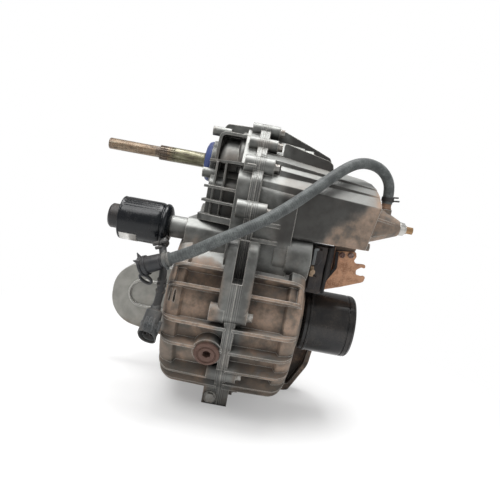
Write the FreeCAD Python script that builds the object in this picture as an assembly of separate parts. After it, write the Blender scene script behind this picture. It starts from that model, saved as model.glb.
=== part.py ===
import FreeCAD, Part
import math
import os
from FreeCAD import Vector

# Two-speed transaxle of a utility vehicle, with its differential in the same ribbed case.
# Millimetres. X runs along the shafts, Y away from the viewer, Z up. Heights below are
# measured from the axle axis; the finished pieces are lifted so that the feet stand on Z = 0.

# Overall places of the shafts
AXLE_HEIGHT = 142.0
INPUT_Y = 30.0
COUNTER_Y = 30.0

# Gear train: teeth, modules and face widths
GEAR_MODULE = 2.5
FINAL_MODULE = 3.0
PRESSURE_ANGLE = 25.0
LOW_PINION_TEETH = 24
LOW_GEAR_TEETH = 54
HIGH_PINION_TEETH = 34
HIGH_GEAR_TEETH = 44
FINAL_PINION_TEETH = 14
RING_GEAR_TEETH = 62
BACKLASH = 0.3
HIGH_FACE = 16.0
LOW_FACE = 18.0
FINAL_FACE = 22.0
PINION_EXTRA_FACE = 1.0

# Places of the gears along X (the left end of each)
FINAL_X = -51.0
HIGH_X = -26.0
LOW_X = 31.0

# Dog clutch between the two free gears
DOG_LUGS = 6
DOG_LUG_ANGLE = 22.0
DOG_LUG_HEIGHT = 6.0
DOG_INNER_R = 25.0
DOG_OUTER_R = 34.0
DOG_GAP = 1.5
FORK_GROOVE_DEPTH = 5.0
FORK_THICKNESS = 7.0
SHIFT_TRAVEL = 7.0
SHIFT_TURN = 35.0

# Shafts
COUNTER_R = 16.0
COUNTER_END_R = 12.5
HUB_SPLINE_R = 20.0
SPLINE_TOOTH_HEIGHT = 2.5
SPLINE_TEETH = 6
SPLINE_TOOTH_WIDTH = 6.0
INPUT_R = 13.0
INPUT_END_R = 12.5
INPUT_OUTER_R = 11.0
INPUT_PILOT_R = 8.4
INPUT_LENGTH_OUT = 232.5
INPUT_SPLINE_X0 = -154.0
INPUT_SPLINE_X1 = -130.0
INPUT_SPLINE_TEETH = 18
RUNNING_GAP = 0.05
SEAT_GAP = 0.02
LOOSE_GAP = 0.5

# Bearings: outer radius and width
SHAFT_BEARING_R = 26.0
SHAFT_BEARING_WIDTH = 14.0
DIFF_BEARING_R = 35.0
DIFF_BEARING_WIDTH = 16.0

# Case
WALL = 7.0
BARREL_R = 106.0
BARREL_SHOULDER_R = 112.0
BARREL_HALF_LENGTH = 90.0
BARREL_SHOULDER_X = 66.0
BARREL_INNER_R = 99.5
BARREL_INNER_HALF = 82.0
HUB_R = 50.0
HUB_LENGTH = 9.0
RIB_R = 124.0
RIB_THICKNESS = 4.2
RIB_END_X = 89.0
RIB_CORNER_R = 21.0
SEAM_RIM = 6.0
SEAM_HALF_WIDTH = 7.0
SEAM_BOSS_HALF = 20.0
SEAM_BOLT_R = 4.0
FRONT_Y = -78.0
REAR_Y = 110.0
TOP_Z = 262.0
CHAMBER_FRONT_X = 60.0
CHAMBER_END_X = 74.0
BLOCK_END_X = 160.0
BLOCK_REAR_Y = 22.0
FOOT_Y0 = -45.0
FOOT_Y1 = 15.0
FOOT_LEFT = 22.0
FOOT_RIGHT = 15.0
DRAIN_X = -11.0
DRAIN_Z = -129.0
FILL_ANGLE = 19.5
FILL_FLANGE_R = 17.0
FILL_X = -23.0
FILL_BOSS_END = 120.0
FILL_THREAD_R = 10.5

# Lug with the clevis slot on the front of the seam
LUG_FRONT_Y = -127.0
LUG_TOP_Z = 110.0
LUG_BOTTOM_Z = 4.0
LUG_HALF_WIDTH = 20.0
LUG_FOOT_HALF_WIDTH = 12.0
LUG_EDGE_R = 3.0
LUG_BOSS_END = 29.0
SLOT_HALF_WIDTH = 6.5
SLOT_BOTTOM_Z = 58.0
SLOT_DEPTH = 36.0
CLEVIS_BORE_R = 5.2
CLEVIS_Y = -110.0
CLEVIS_Z = 88.0

# Differential
DIFF_X = 18.0
CARRIER_R = 41.0
CARRIER_HALF = 30.0
CARRIER_HUB_R = 22.0
RING_FLANGE_X = -58.0
RING_FLANGE_R = 77.0
RING_BORE_R = 62.0
RING_BOLTS = 8
RING_BOLT_CIRCLE = 69.5
SIDE_TEETH = 16
SPIDER_TEETH = 10
BEVEL_MODULE = 3.0
BEVEL_FACE = 9.0
BEVEL_BACKLASH = 0.5
SIDE_BACK = 24.0
SPIDER_BACK = 29.5
SPIDER_PIN_R = 6.0
SIDE_SPLINE_R = 10.5
OUTPUT_R = 14.0
OUTPUT_SEAL_R = 29.0
DIFF_BEARING_R = 35.0
DIFF_BEARING_WIDTH = 12.0

# Output cup on the right
CUP_R = 46.0
CUP_X0 = 101.0
CUP_X1 = 177.0
CUP_WALL = 4.0
CUP_FLOOR = 12.0

# Differential lock
LOCK_Y = -46.0
LOCK_Z = 107.0
LOCK_TRAVEL = 6.0
LOCK_LUG_HEIGHT = 5.0
LOCK_INNER_R = 25.0
LOCK_OUTER_R = 34.0
LOCK_BODY_X0 = -79.5
LOCK_ROD_R = 5.0
TUBE_R = 15.4
TUBE_END_X = -106.0
SOLENOID_R = 30.0
SOLENOID_X0 = -176.0
SOLENOID_X1 = -106.05
SOLENOID_CAP_R = 17.0
SOLENOID_CAP_X = -193.0

# Shift mechanism
DRUM_Y = -20.0
DRUM_Z = 160.0
DRUM_R = 24.0
DRUM_X0 = 86.0
DRUM_X1 = 146.0
GROOVE_DEPTH = 5.5
GROOVE_HALF = 3.9
PIN_R = 3.0
PIN_X = 114.0
RAIL_Y = -45.0
RAIL_Z = 184.0
RAIL_R = 7.0
SHIFT_SHAFT_R = 7.0
SHIFT_TIP_X = 232.5
CONE_END_X = 212.0
CONE_END_R = 11.0

# Range switch, cable bracket and mounts
CAP_X0 = 64.0
CAP_Y = -54.0
CAP_Z = 94.0
CAP_RECESS_R = 25.0
BRACKET_Y = -12.0
BRACKET_BOLT_R = 2.5
BRACKET_BOLTS = [(142.5, 107.0), (155.0, 109.0)]
MOUNT_PLATE = 8.0
MOUNT_Y0 = 58.5
MOUNT_Y1 = 80.5
MOUNT_BOLT_R = 4.0
MOUNT_BOLTS = [(50.0, 38.0), (90.0, 24.0), (90.0, -28.0), (50.0, -42.0)]

# Vent hose and solenoid lead, their routes as (x, y, z)
NIPPLE_X = 188.5
HOSE_R = 7.5
HOSE_BORE_R = 4.1
HOSE_POINTS = [
    (188.5, -20.0, 192.0), (188.5, -20.0, 212.5), (181.5, -22.0, 227.5), (168.5, -28.0, 237.5),
    (152.5, -36.0, 241.0), (136.5, -45.0, 239.5), (121.0, -55.0, 232.0), (105.0, -66.0, 219.0),
    (84.0, -80.0, 199.0), (50.0, -98.0, 166.0), (12.0, -116.0, 136.0), (-30.0, -126.0, 110.0),
    (-64.0, -122.0, 86.0), (-98.0, -112.0, 68.0),
]
LEAD_R = 5.2
LEAD_POINTS = [
    (-112.0, -69.0, 85.5), (-104.0, -83.0, 72.0), (-99.0, -94.5, 53.0), (-96.0, -107.0, 32.0),
    (-96.0, -115.0, 13.0), (-99.0, -117.5, 0.0),
]

# Seam bolts as (y, z, boss radius)
SEAM_RIM_R = 120.0
SEAM_BOLTS = [
    (0.0, 264.0, 9.0), (-30.0, 241.0, 9.0), (-62.0, 210.0, 12.0), (-86.0, 150.0, 12.0), (-117.0, 16.0, 10.5),
    (-94.0, -72.0, 10.0), (-30.0, -117.0, 10.0), (44.0, -110.0, 10.0), (96.0, -70.0, 10.0), (116.0, 0.0, 10.0),
    (118.0, 70.0, 8.5), (118.0, 140.0, 8.5), (110.0, 231.0, 9.0), (56.0, 264.0, 9.0),
]

# Ribs of the barrel, degrees from the front towards the top
RIB_ANGLES_LEFT = [34.0, 21.0, -1.5, -16.5, -42.0, -56.0, -68.0, -87.0, -100.0, -124.0, -156.0, -168.0]
RIB_ANGLES_RIGHT = [34.0, 21.0, -1.5, -16.5, -31.5, -49.0, -64.0, -87.0, -100.0, -124.0, -156.0, -168.0]

# Fins of the left half as (height, tip x, tip y, thickness)
LEFT_FINS = [
    (208.0, -71.5, -24.0, 3.6), (171.0, -71.0, -46.0, 3.6), (151.5, -71.5, -46.0, 3.6), (128.5, -73.0, -50.0, 9.0),
]


PARTS = {}


def cyl(x0, x1, y, z, r):
    """A cylinder along X."""
    return Part.makeCylinder(r, x1 - x0, Vector(x0, y, z), Vector(1, 0, 0))


def cyl_y(x, y0, y1, z, r):
    """A cylinder along Y."""
    return Part.makeCylinder(r, y1 - y0, Vector(x, y0, z), Vector(0, 1, 0))


def cyl_z(x, y, z0, z1, r):
    """A cylinder along Z."""
    return Part.makeCylinder(r, z1 - z0, Vector(x, y, z0), Vector(0, 0, 1))


def box(x0, x1, y0, y1, z0, z1):
    """A box between two corners."""
    return Part.makeBox(x1 - x0, y1 - y0, z1 - z0, Vector(x0, y0, z0))


def joined(shapes):
    """One solid of several that touch, fused one after the other."""
    whole = shapes[0]
    for shape in shapes[1:]:
        whole = whole.fuse(shape)
    return whole.removeSplitter()


def carved(shape, tools):
    """A shape with several others taken out of it one after the other."""
    for tool in tools:
        shape = shape.cut(tool)
    return shape


def rounded_wire(points, radii):
    """A closed wire through points, each corner rounded by its radius."""
    count = len(points)
    edges = []
    ends = []
    for i, corner in enumerate(points):
        before = points[i - 1] - corner
        after = points[(i + 1) % count] - corner
        radius = radii[i]
        if radius <= 0:
            ends.append((corner, None, corner))
            continue
        half = before.getAngle(after) / 2
        reach = radius / math.tan(half)
        start = corner + before.normalize() * reach
        stop = corner + after.normalize() * reach
        centre_way = (before + after).normalize()
        middle = corner + centre_way * (radius / math.sin(half) - radius)
        ends.append((start, middle, stop))
    for i, (start, middle, stop) in enumerate(ends):
        if middle is not None:
            edges.append(Part.Arc(start, middle, stop).toShape())
        following = ends[(i + 1) % count][0]
        if stop.distanceToPoint(following) > 1e-6:
            edges.append(Part.LineSegment(stop, following).toShape())
    return Part.Wire(edges)


def slab_x(outline, radii, x0, x1):
    """A plate across X from an outline of (y, z) corners with rounding radii."""
    wire = rounded_wire([Vector(x0, y, z) for y, z in outline], radii)
    return Part.Face(wire).extrude(Vector(x1 - x0, 0, 0))


def slab_y(outline, radii, y0, y1):
    """A plate across Y from an outline of (x, z) corners with rounding radii."""
    wire = rounded_wire([Vector(x, y0, z) for x, z in outline], radii)
    return Part.Face(wire).extrude(Vector(0, y1 - y0, 0))


def slab_z(outline, radii, z0, z1):
    """A plate across Z from an outline of (x, y) corners with rounding radii."""
    wire = rounded_wire([Vector(x, y, z0) for x, y in outline], radii)
    return Part.Face(wire).extrude(Vector(0, 0, z1 - z0))


def turned(profile, y=0.0, z=0.0, radii=None):
    """A body of revolution about an axis along X, from (x, radius) corners."""
    points = [Vector(x, y, z + r) for x, r in profile]
    wire = rounded_wire(points, radii or [0] * len(points))
    return Part.Face(wire).revolve(Vector(0, y, z), Vector(1, 0, 0), 360)


def spun(shape, degrees, y=0.0, z=0.0):
    """A copy turned about an axis along X."""
    copy = shape.copy()
    copy.rotate(Vector(0, y, z), Vector(1, 0, 0), degrees)
    return copy


def polar(y, z, r, degrees):
    """A point at an angle about an axis along X, from +Y towards +Z."""
    return (y + r * math.cos(math.radians(degrees)), z + r * math.sin(math.radians(degrees)))


def add(node, shape, colour=None):
    """Keep a finished piece under its node name."""
    PARTS[node] = shape


# Gear geometry

def pitch_radius(teeth, module):
    return teeth * module / 2


def involute(angle):
    return math.tan(angle) - angle


def gear(teeth, module, x0, x1, y, z, phase, bore=0.0):
    """A spur gear along X with straight flanks cut inside the true involute, a tooth at phase degrees."""
    r_pitch = pitch_radius(teeth, module)
    pressure = math.radians(PRESSURE_ANGLE)
    r_base = r_pitch * math.cos(pressure)
    r_tip = r_pitch + module
    r_root = r_pitch - 1.25 * module
    half_pitch = (math.pi * module - BACKLASH) / (4 * r_pitch)

    def half_angle(r):
        local = math.acos(min(1.0, r_base / r))
        return half_pitch + involute(pressure) - involute(local)

    at_tip = half_angle(r_tip)
    at_root = half_angle(max(r_root, r_base))
    points = []
    for i in range(teeth):
        middle = math.radians(phase) + 2 * math.pi * i / teeth
        for r, a in ((r_root, -at_root), (r_tip, -at_tip), (r_tip, at_tip), (r_root, at_root)):
            points.append(Vector(x0, y + r * math.cos(middle + a), z + r * math.sin(middle + a)))
    points.append(points[0])
    blank = Part.Face(Part.makePolygon(points)).extrude(Vector(x1 - x0, 0, 0))
    if bore:
        blank = blank.cut(cyl(x0 - 1, x1 + 1, y, z, bore))
    return blank


def lug_ring(x0, x1, y, z, r_in, r_out, count, width, phase):
    """Face lugs of a dog clutch, one centred at phase degrees."""
    ring = cyl(x0, x1, y, z, r_out).cut(cyl(x0 - 1, x1 + 1, y, z, r_in))
    sector = r_out * 1.5
    lugs = []
    for i in range(count):
        a = phase + 360.0 * i / count
        corners = [(y, z), polar(y, z, sector, a - width / 2), polar(y, z, sector, a + width / 2)]
        lugs.append(ring.common(slab_x(corners, [0, 0, 0], x0, x1)))
    return lugs


def splined(x0, x1, y, z, r, height, count, width, gap=0.0, phase=0.0):
    """A splined length of shaft, or with a gap the tool that cuts its bore."""
    core = cyl(x0, x1, y, z, r + gap)
    keys = []
    for i in range(count):
        key = box(x0, x1, y, y + r + height + gap, z - width / 2 - gap, z + width / 2 + gap)
        keys.append(spun(key, phase + 360.0 * i / count, y, z))
    return core.fuse(keys)


# Places worked out from the gear train

STAGE_CENTRES = pitch_radius(LOW_PINION_TEETH + LOW_GEAR_TEETH, GEAR_MODULE)
FINAL_CENTRES = pitch_radius(FINAL_PINION_TEETH + RING_GEAR_TEETH, FINAL_MODULE)
COUNTER_Z = math.sqrt(FINAL_CENTRES ** 2 - COUNTER_Y ** 2)
INPUT_Z = COUNTER_Z + math.sqrt(STAGE_CENTRES ** 2 - (INPUT_Y - COUNTER_Y) ** 2)
STAGE_LINE = math.degrees(math.atan2(INPUT_Z - COUNTER_Z, INPUT_Y - COUNTER_Y))
FINAL_LINE = math.degrees(math.atan2(COUNTER_Z, COUNTER_Y))

FINAL_END_X = FINAL_X + FINAL_FACE
HIGH_END_X = HIGH_X + HIGH_FACE
LOW_END_X = LOW_X + LOW_FACE
DOG_X0 = HIGH_END_X + DOG_LUG_HEIGHT + DOG_GAP
DOG_X1 = LOW_X - DOG_LUG_HEIGHT - DOG_GAP
DOG_MIDDLE = (DOG_X0 + DOG_X1) / 2
DRUM_LINE = math.degrees(math.atan2(RAIL_Z - DRUM_Z, RAIL_Y - DRUM_Y))


# Case

def chamber_outline(inset, drop=0.0):
    """The section of the gear chamber, with the corner radii; drop lowers its roof."""
    outline = [
        (FRONT_Y + inset, 20.0), (FRONT_Y + inset, 188.0 - 0.4 * inset - drop),
        (-20.0 + 0.4 * inset - 0.4 * drop, 246.0 - inset - 1.4 * drop), (0.3 * inset, TOP_Z - inset - drop),
        (60.0 - 0.4 * inset, TOP_Z - inset - drop), (REAR_Y - 6.0 - inset, 222.0 - 0.4 * inset),
        (REAR_Y - inset, 180.0), (REAR_Y - inset, 20.0),
    ]
    return outline, [0, 14, 12, 12, 20, 16, 16, 0]


def block_outline(far):
    """The section of the selector block, its roof stepped, at its near or far end."""
    if far:
        outline = [(-72.0, 124.0), (-72.0, 182.0), (-58.0, 196.0), (-57.3, 197.6), (-50.0, 205.0), (-49.3, 206.6),
                   (-30.0, 213.0), (BLOCK_REAR_Y, 220.0), (BLOCK_REAR_Y, 124.0)]
    else:
        outline = [(-75.0, 121.0), (-75.0, 191.5), (-64.5, 202.0), (-63.5, 211.5), (-58.0, 217.0), (-57.0, 224.0),
                   (-30.0, 233.0), (BLOCK_REAR_Y, 240.0), (BLOCK_REAR_Y, 121.0)]
    return outline, [5, 2.5, 0.8, 0.7, 0.8, 0.7, 6, 6, 5]


def block_hollow(far):
    """The section of the hollow inside the selector block at its near or far end."""
    rise = 0.0 if far else 14.0
    outline = [(-65.0, 131.0 - 0.2 * rise), (-65.0, 173.0 + 0.6 * rise), (-44.0, 195.0 + rise),
               (-28.0, 203.0 + 1.2 * rise), (BLOCK_REAR_Y - WALL, 211.0 + 1.3 * rise),
               (BLOCK_REAR_Y - WALL, 131.0 - 0.2 * rise)]
    return outline, [4, 8, 6, 6, 6, 4]


def lofted_x(near, near_x, far, far_x):
    """A straight loft between two outlines across X."""
    wires = []
    for (outline, radii), x in ((near, near_x), (far, far_x)):
        wires.append(rounded_wire([Vector(x, y, z) for y, z in outline], radii))
    return Part.makeLoft(wires, True, True)


def barrel(sign):
    """One half of the ribbed differential barrel, solid."""
    end = BARREL_HALF_LENGTH
    profile = [
        (0, 0), (0, BARREL_R), (sign * BARREL_SHOULDER_X, BARREL_R - 1),
        (sign * (BARREL_SHOULDER_X + 4), BARREL_SHOULDER_R), (sign * end, BARREL_SHOULDER_R - 4),
        (sign * end, HUB_R + 6), (sign * (end + HUB_LENGTH), HUB_R), (sign * (end + HUB_LENGTH), 0),
    ]
    return turned(profile, radii=[0, 0, 2, 2, 14, 4, 3, 0])


def barrel_cavity(sign):
    """The hollow of one half of the barrel."""
    inner = BARREL_INNER_HALF
    profile = [(-sign, 0), (-sign, BARREL_INNER_R), (sign * inner, BARREL_INNER_R - 4), (sign * inner, 0)]
    return turned(profile, radii=[0, 0, 12, 0])


def rib(sign, angle):
    """A cooling rib along the barrel, its angle measured from the front towards the top."""
    outline = [
        (sign * 4.0, BARREL_R - 9), (sign * 4.0, RIB_R), (sign * RIB_END_X, RIB_R - 2),
        (sign * RIB_END_X, BARREL_R - 9),
    ]
    wire = rounded_wire([Vector(x, -RIB_THICKNESS / 2, r) for x, r in outline], [0, 0, RIB_CORNER_R, 0])
    plate = Part.Face(wire).extrude(Vector(0, RIB_THICKNESS, 0))
    return spun(plate, 90.0 - angle)


def end_wall(sign, low_angle, high_angle):
    """The wall that closes the two top ribs at the end of the barrel."""
    outline = [
        (sign * (RIB_END_X - 9), BARREL_R - 6), (sign * (RIB_END_X - 9), RIB_R - 7), (sign * (RIB_END_X - 4), RIB_R - 10),
        (sign * (RIB_END_X - 1), RIB_R - 18), (sign * (RIB_END_X - 1), BARREL_R - 8),
    ]
    wire = rounded_wire([Vector(x, 0, r) for x, r in outline], [0, 2, 2, 2, 0])
    sector = Part.Face(wire).revolve(Vector(0, 0, 0), Vector(1, 0, 0), high_angle - low_angle)
    return spun(sector, 90.0 - high_angle)


def side_span(sign, reach):
    """The X range from the seam out to a reach on one side."""
    return (0.0, reach) if sign > 0 else (-reach, 0.0)


def seam_flange(sign):
    """The flange around the seam, its bolt bosses and one half of the clevis lug."""
    x0, x1 = side_span(sign, SEAM_HALF_WIDTH)
    outline, radii = chamber_outline(-SEAM_RIM)
    pieces = [slab_x(outline, radii, x0, x1), cyl(x0, x1, 0, 0, SEAM_RIM_R)]
    b0, b1 = side_span(sign, SEAM_BOSS_HALF)
    for y, z, r in SEAM_BOLTS:
        pieces.append(cyl(b0, b1, y, z, r))
    lug = [
        (-60.0, LUG_TOP_Z), (LUG_FRONT_Y + 5, LUG_TOP_Z), (LUG_FRONT_Y, 62.0), (LUG_FRONT_Y, LUG_BOTTOM_Z + 8),
        (-112.0, LUG_BOTTOM_Z - 6), (-60.0, 20.0),
    ]
    lug_x0, lug_x1 = side_span(sign, LUG_HALF_WIDTH)
    side = slab_x(lug, [0, 14, 20, 8, 8, 0], lug_x0, lug_x1)
    front = [
        (0.0, LUG_TOP_Z + 1), (sign * LUG_HALF_WIDTH, LUG_TOP_Z + 1), (sign * LUG_HALF_WIDTH, LUG_BOTTOM_Z + 26),
        (sign * LUG_FOOT_HALF_WIDTH, LUG_BOTTOM_Z - 8), (0.0, LUG_BOTTOM_Z - 8),
    ]
    lug = side.common(slab_y(front, [0, 5, 12, 7, 0], LUG_FRONT_Y - 5, -50.0))
    edges = [e for e in lug.Edges if e.BoundBox.YMax < -70 and e.BoundBox.XLength < 12 and e.Length > 12
             and min(abs(abs(v.Point.x) - LUG_HALF_WIDTH) for v in e.Vertexes) < 0.1]
    try:
        rounded = lug.makeFillet(LUG_EDGE_R, edges)
        lug = rounded if rounded.isValid() and rounded.Volume > 0 else lug
    except Part.OCCError:
        print("lug edges left sharp")
    pieces.append(lug)
    return pieces


def seam_cuts():
    """Bolt holes through the seam, the clevis slot and the bore across it."""
    reach = SEAM_BOSS_HALF + 1.0
    tools = [cyl(-reach, reach, y, z, SEAM_BOLT_R + LOOSE_GAP) for y, z, _ in SEAM_BOLTS]
    tools += [cyl(SEAM_BOSS_HALF, SEAM_BOSS_HALF + 9.0, y, z, 8.0) for y, z, _ in SEAM_BOLTS[1:3]]
    tools.append(box(-SLOT_HALF_WIDTH, SLOT_HALF_WIDTH, LUG_FRONT_Y - 5, LUG_FRONT_Y + SLOT_DEPTH,
                     SLOT_BOTTOM_Z, LUG_TOP_Z + 20))
    tools.append(cyl(-LUG_HALF_WIDTH - 5, LUG_HALF_WIDTH + 5, CLEVIS_Y, CLEVIS_Z, CLEVIS_BORE_R))
    return tools


def foot(sign, reach):
    """One half of the foot under the seam."""
    x0, x1 = side_span(sign, reach)
    outline = [(FOOT_Y0, -AXLE_HEIGHT), (FOOT_Y0 - 4, -100.0), (FOOT_Y1 + 4, -100.0), (FOOT_Y1, -AXLE_HEIGHT)]
    return slab_x(outline, [5, 0, 0, 5], x0, x1)


def end_bore(sign):
    """Pockets of the output bearing and its seal in one end of the barrel."""
    inner = sign * BARREL_INNER_HALF
    outer = sign * (BARREL_HALF_LENGTH + HUB_LENGTH)
    seat = sign * (BARREL_INNER_HALF + DIFF_BEARING_WIDTH)
    lo, hi = sorted((inner - sign, seat))
    slo, shi = sorted((seat, outer + sign))
    return [cyl(lo, hi, 0, 0, DIFF_BEARING_R + SEAT_GAP), cyl(slo, shi, 0, 0, OUTPUT_SEAL_R + SEAT_GAP)]


def left_fins():
    """The thin fins and webs over the left end of the gear chamber."""
    pieces = []
    for z, x_tip, y_tip, thick in LEFT_FINS:
        outline = [(x_tip, y_tip), (x_tip + 7, y_tip - 6), (-20.0, -73.0), (-4.0, -78.0), (-4.0, 30.0), (x_tip, 30.0)]
        pieces.append(slab_z(outline, [2, 8, 20, 0, 0, 0], z - thick / 2, z + thick / 2))
    hood = [(-66.0, 209.0), (-64.0, 252.0), (-4.0, 252.0), (-4.0, 247.5), (-60.0, 247.5), (-61.5, 209.0)]
    pieces.append(slab_y(hood, [0, 10, 0, 0, 6, 0], -14.0, 30.0))
    roof = [(-64.0, 240.0), (-64.0, 256.0), (-58.0, 266.5), (-4.0, 268.5), (-4.0, 240.0)]
    pieces.append(slab_y(roof, [0, 4, 6, 0, 0], 17.0, 21.5))
    for x, y_front in ((-58.0, -44.0), (-45.0, -46.0)):
        pieces.append(box(x - 1.4, x + 1.4, y_front, 20.0, 126.0, 207.0))
    dome = [(-20, 0), (-20, 37), (-60, 37), (-60, 0)]
    pieces.append(turned(dome, 17.0, INPUT_Z, [0, 0, 13, 0]))
    return pieces


def left_case():
    """The left half: shaft ends, actuator tube and filler boss."""
    near, near_radii = chamber_outline(0.0)
    pieces = [barrel(-1), slab_x(near, near_radii, -25.0, 0.0)] + seam_flange(-1)
    pieces += [rib(-1, angle) for angle in RIB_ANGLES_LEFT]
    pieces.append(end_wall(-1, RIB_ANGLES_LEFT[1], RIB_ANGLES_LEFT[0]))
    pieces.append(cyl(-LUG_BOSS_END, -10, *SEAM_BOLTS[4][:2], SEAM_BOLTS[4][2] + 1.5))
    body = [(-40.0, 50.0), (-40.0, 178.0), (2.0, 206.0), (4.0, 238.0), (24.0, 258.0), (60.0, 260.0),
            (100.0, 224.0), (104.0, 180.0), (104.0, 30.0)]
    pieces.append(slab_x(body, [0, 10, 10, 12, 8, 20, 16, 10, 0], -66.0, -20.0))
    lower = [(-64.0, 40.0), (-64.0, 112.0), (-52.0, 124.0), (60.0, 124.0), (60.0, 40.0)]
    pieces.append(slab_x(lower, [0, 8, 8, 0, 0], -84.0, -20.0))
    bulge = [(-20, 0), (-20, 52), (-34, 52), (-34, 36), (-62, 36), (-62, 32), (-73, 32), (-73, 0)]
    pieces.append(turned(bulge, INPUT_Y, INPUT_Z, [0, 0, 6, 3, 5, 2, 2, 0]))
    pieces.append(turned([(-20, 0), (-20, 36), (-76, 34), (-76, 0)], COUNTER_Y, COUNTER_Z, [0, 0, 4, 0]))
    pieces.append(cyl(TUBE_END_X, -20, LOCK_Y, LOCK_Z, TUBE_R))
    pieces += left_fins()
    pieces.append(cyl(-77.0, -50, 8.0, 252.0, 6.8))
    pieces.append(cyl(-79.0, -20, -20.0, 189.5, 7.2))
    py, pz = polar(0, 0, 1.0, 180 + FILL_ANGLE)
    way = Vector(0, py, pz)
    pieces.append(Part.makeCylinder(FILL_FLANGE_R + 3.0, 32, way * (FILL_BOSS_END - 32) + Vector(FILL_X, 0, 0), way))
    pieces.append(foot(-1, FOOT_LEFT))
    for y, z in MOUNT_BOLTS:
        pieces.append(cyl(-BARREL_HALF_LENGTH - 1.5, -80.0, y, z, 11.0))
    shell = joined(pieces)

    inner, inner_radii = chamber_outline(WALL)
    hollow = [(-33.0, 60.0), (-33.0, 173.0), (9.0, 202.0), (11.0, 235.0), (28.0, 251.0),
              (57.0, 252.0), (93.0, 220.0), (97.0, 180.0), (97.0, 40.0), (0.0, 40.0)]
    tools = [barrel_cavity(-1), slab_x(inner, inner_radii, -25.0 + WALL, 1.0)]
    tools.append(slab_x(hollow, [0, 8, 8, 8, 8, 16, 12, 8, 0, 0], -59.0, 1.0))
    tools.append(cyl(-28.0, 1.0, INPUT_Y, INPUT_Z, 46.8))
    tools.append(slab_x([(-58, 50), (-58, 110), (-48, 118), (0, 118), (0, 50)], [0, 8, 8, 0, 0], -79.0, 1.0))
    shell = carved(shell, tools)

    bosses = [cyl(-73, -50, INPUT_Y, INPUT_Z, 32), cyl(-76, -55, COUNTER_Y, COUNTER_Z, 33)]
    bosses.append(cyl(-25, -10, RAIL_Y, RAIL_Z, 12))
    bosses += [cyl(-BARREL_HALF_LENGTH - 1, -70.0, y, z, 9.0) for y, z in MOUNT_BOLTS]
    shell = joined([shell] + bosses)

    pocket = SHAFT_BEARING_R + SEAT_GAP
    tools = [
        cyl(-64, -49, INPUT_Y, INPUT_Z, pocket), cyl(-80, -60, INPUT_Y, INPUT_Z, 26.0 + SEAT_GAP),
        cyl(-70, -54, COUNTER_Y, COUNTER_Z, pocket), cyl(-22, 0, RAIL_Y, RAIL_Z, RAIL_R + RUNNING_GAP),
        cyl(TUBE_END_X - 1, -75, LOCK_Y, LOCK_Z, LOCK_ROD_R + RUNNING_GAP),
        Part.makeCylinder(FILL_THREAD_R + SEAT_GAP, 60, way * 80 + Vector(FILL_X, 0, 0), way),
        cyl_y(DRAIN_X, FOOT_Y0 - 10, FOOT_Y0 + 16, DRAIN_Z, 6.0 + SEAT_GAP),
        cyl_y(DRAIN_X, FOOT_Y0 - 10, FOOT_Y0, DRAIN_Z, 10.0),
        Part.makeCylinder(FILL_FLANGE_R + 0.6, 20, way * FILL_BOSS_END + Vector(FILL_X, 0, 0), way),
    ]
    tools += [cyl(-BARREL_HALF_LENGTH - 5, -73.0, y, z, MOUNT_BOLT_R + SEAT_GAP) for y, z in MOUNT_BOLTS]
    tools += [box(x - 1.3, x + 1.3, -125.0, -103.0, 17.0, 33.0) for x in (-83.5, -77.5)]
    return carved(shell, tools + end_bore(-1) + seam_cuts()).removeSplitter()


def right_fins():
    """Fins and gussets over the right half's roof and front."""
    pieces = []
    gusset = [(8.0, 240.0), (8.0, 270.0), (26.0, 270.0), (80.0, 251.0), (101.0, 243.0), (108.0, 228.0), (108.0, 215.0)]
    pieces.append(slab_y(gusset, [0, 0, 10, 20, 6, 0, 0], 12.5, 17.5))
    front = [(6.0, 222.0), (6.0, 231.0), (29.5, 231.0), (29.5, 248.5), (95.0, 235.0), (101.0, 231.0), (104.0, 218.0)]
    pieces.append(slab_y(front, [0, 0, 0, 3, 8, 4, 0], -33.0, -29.0))
    for z in (135.0, 112.0):
        pieces.append(slab_z([(6.0, -70.0), (6.0, -88.0), (20.0, -86.0), (45.0, -77.0), (45.0, -70.0)],
                             [0, 2, 2, 0, 0], z - 2.5, z + 2.5))
    return pieces


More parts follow.
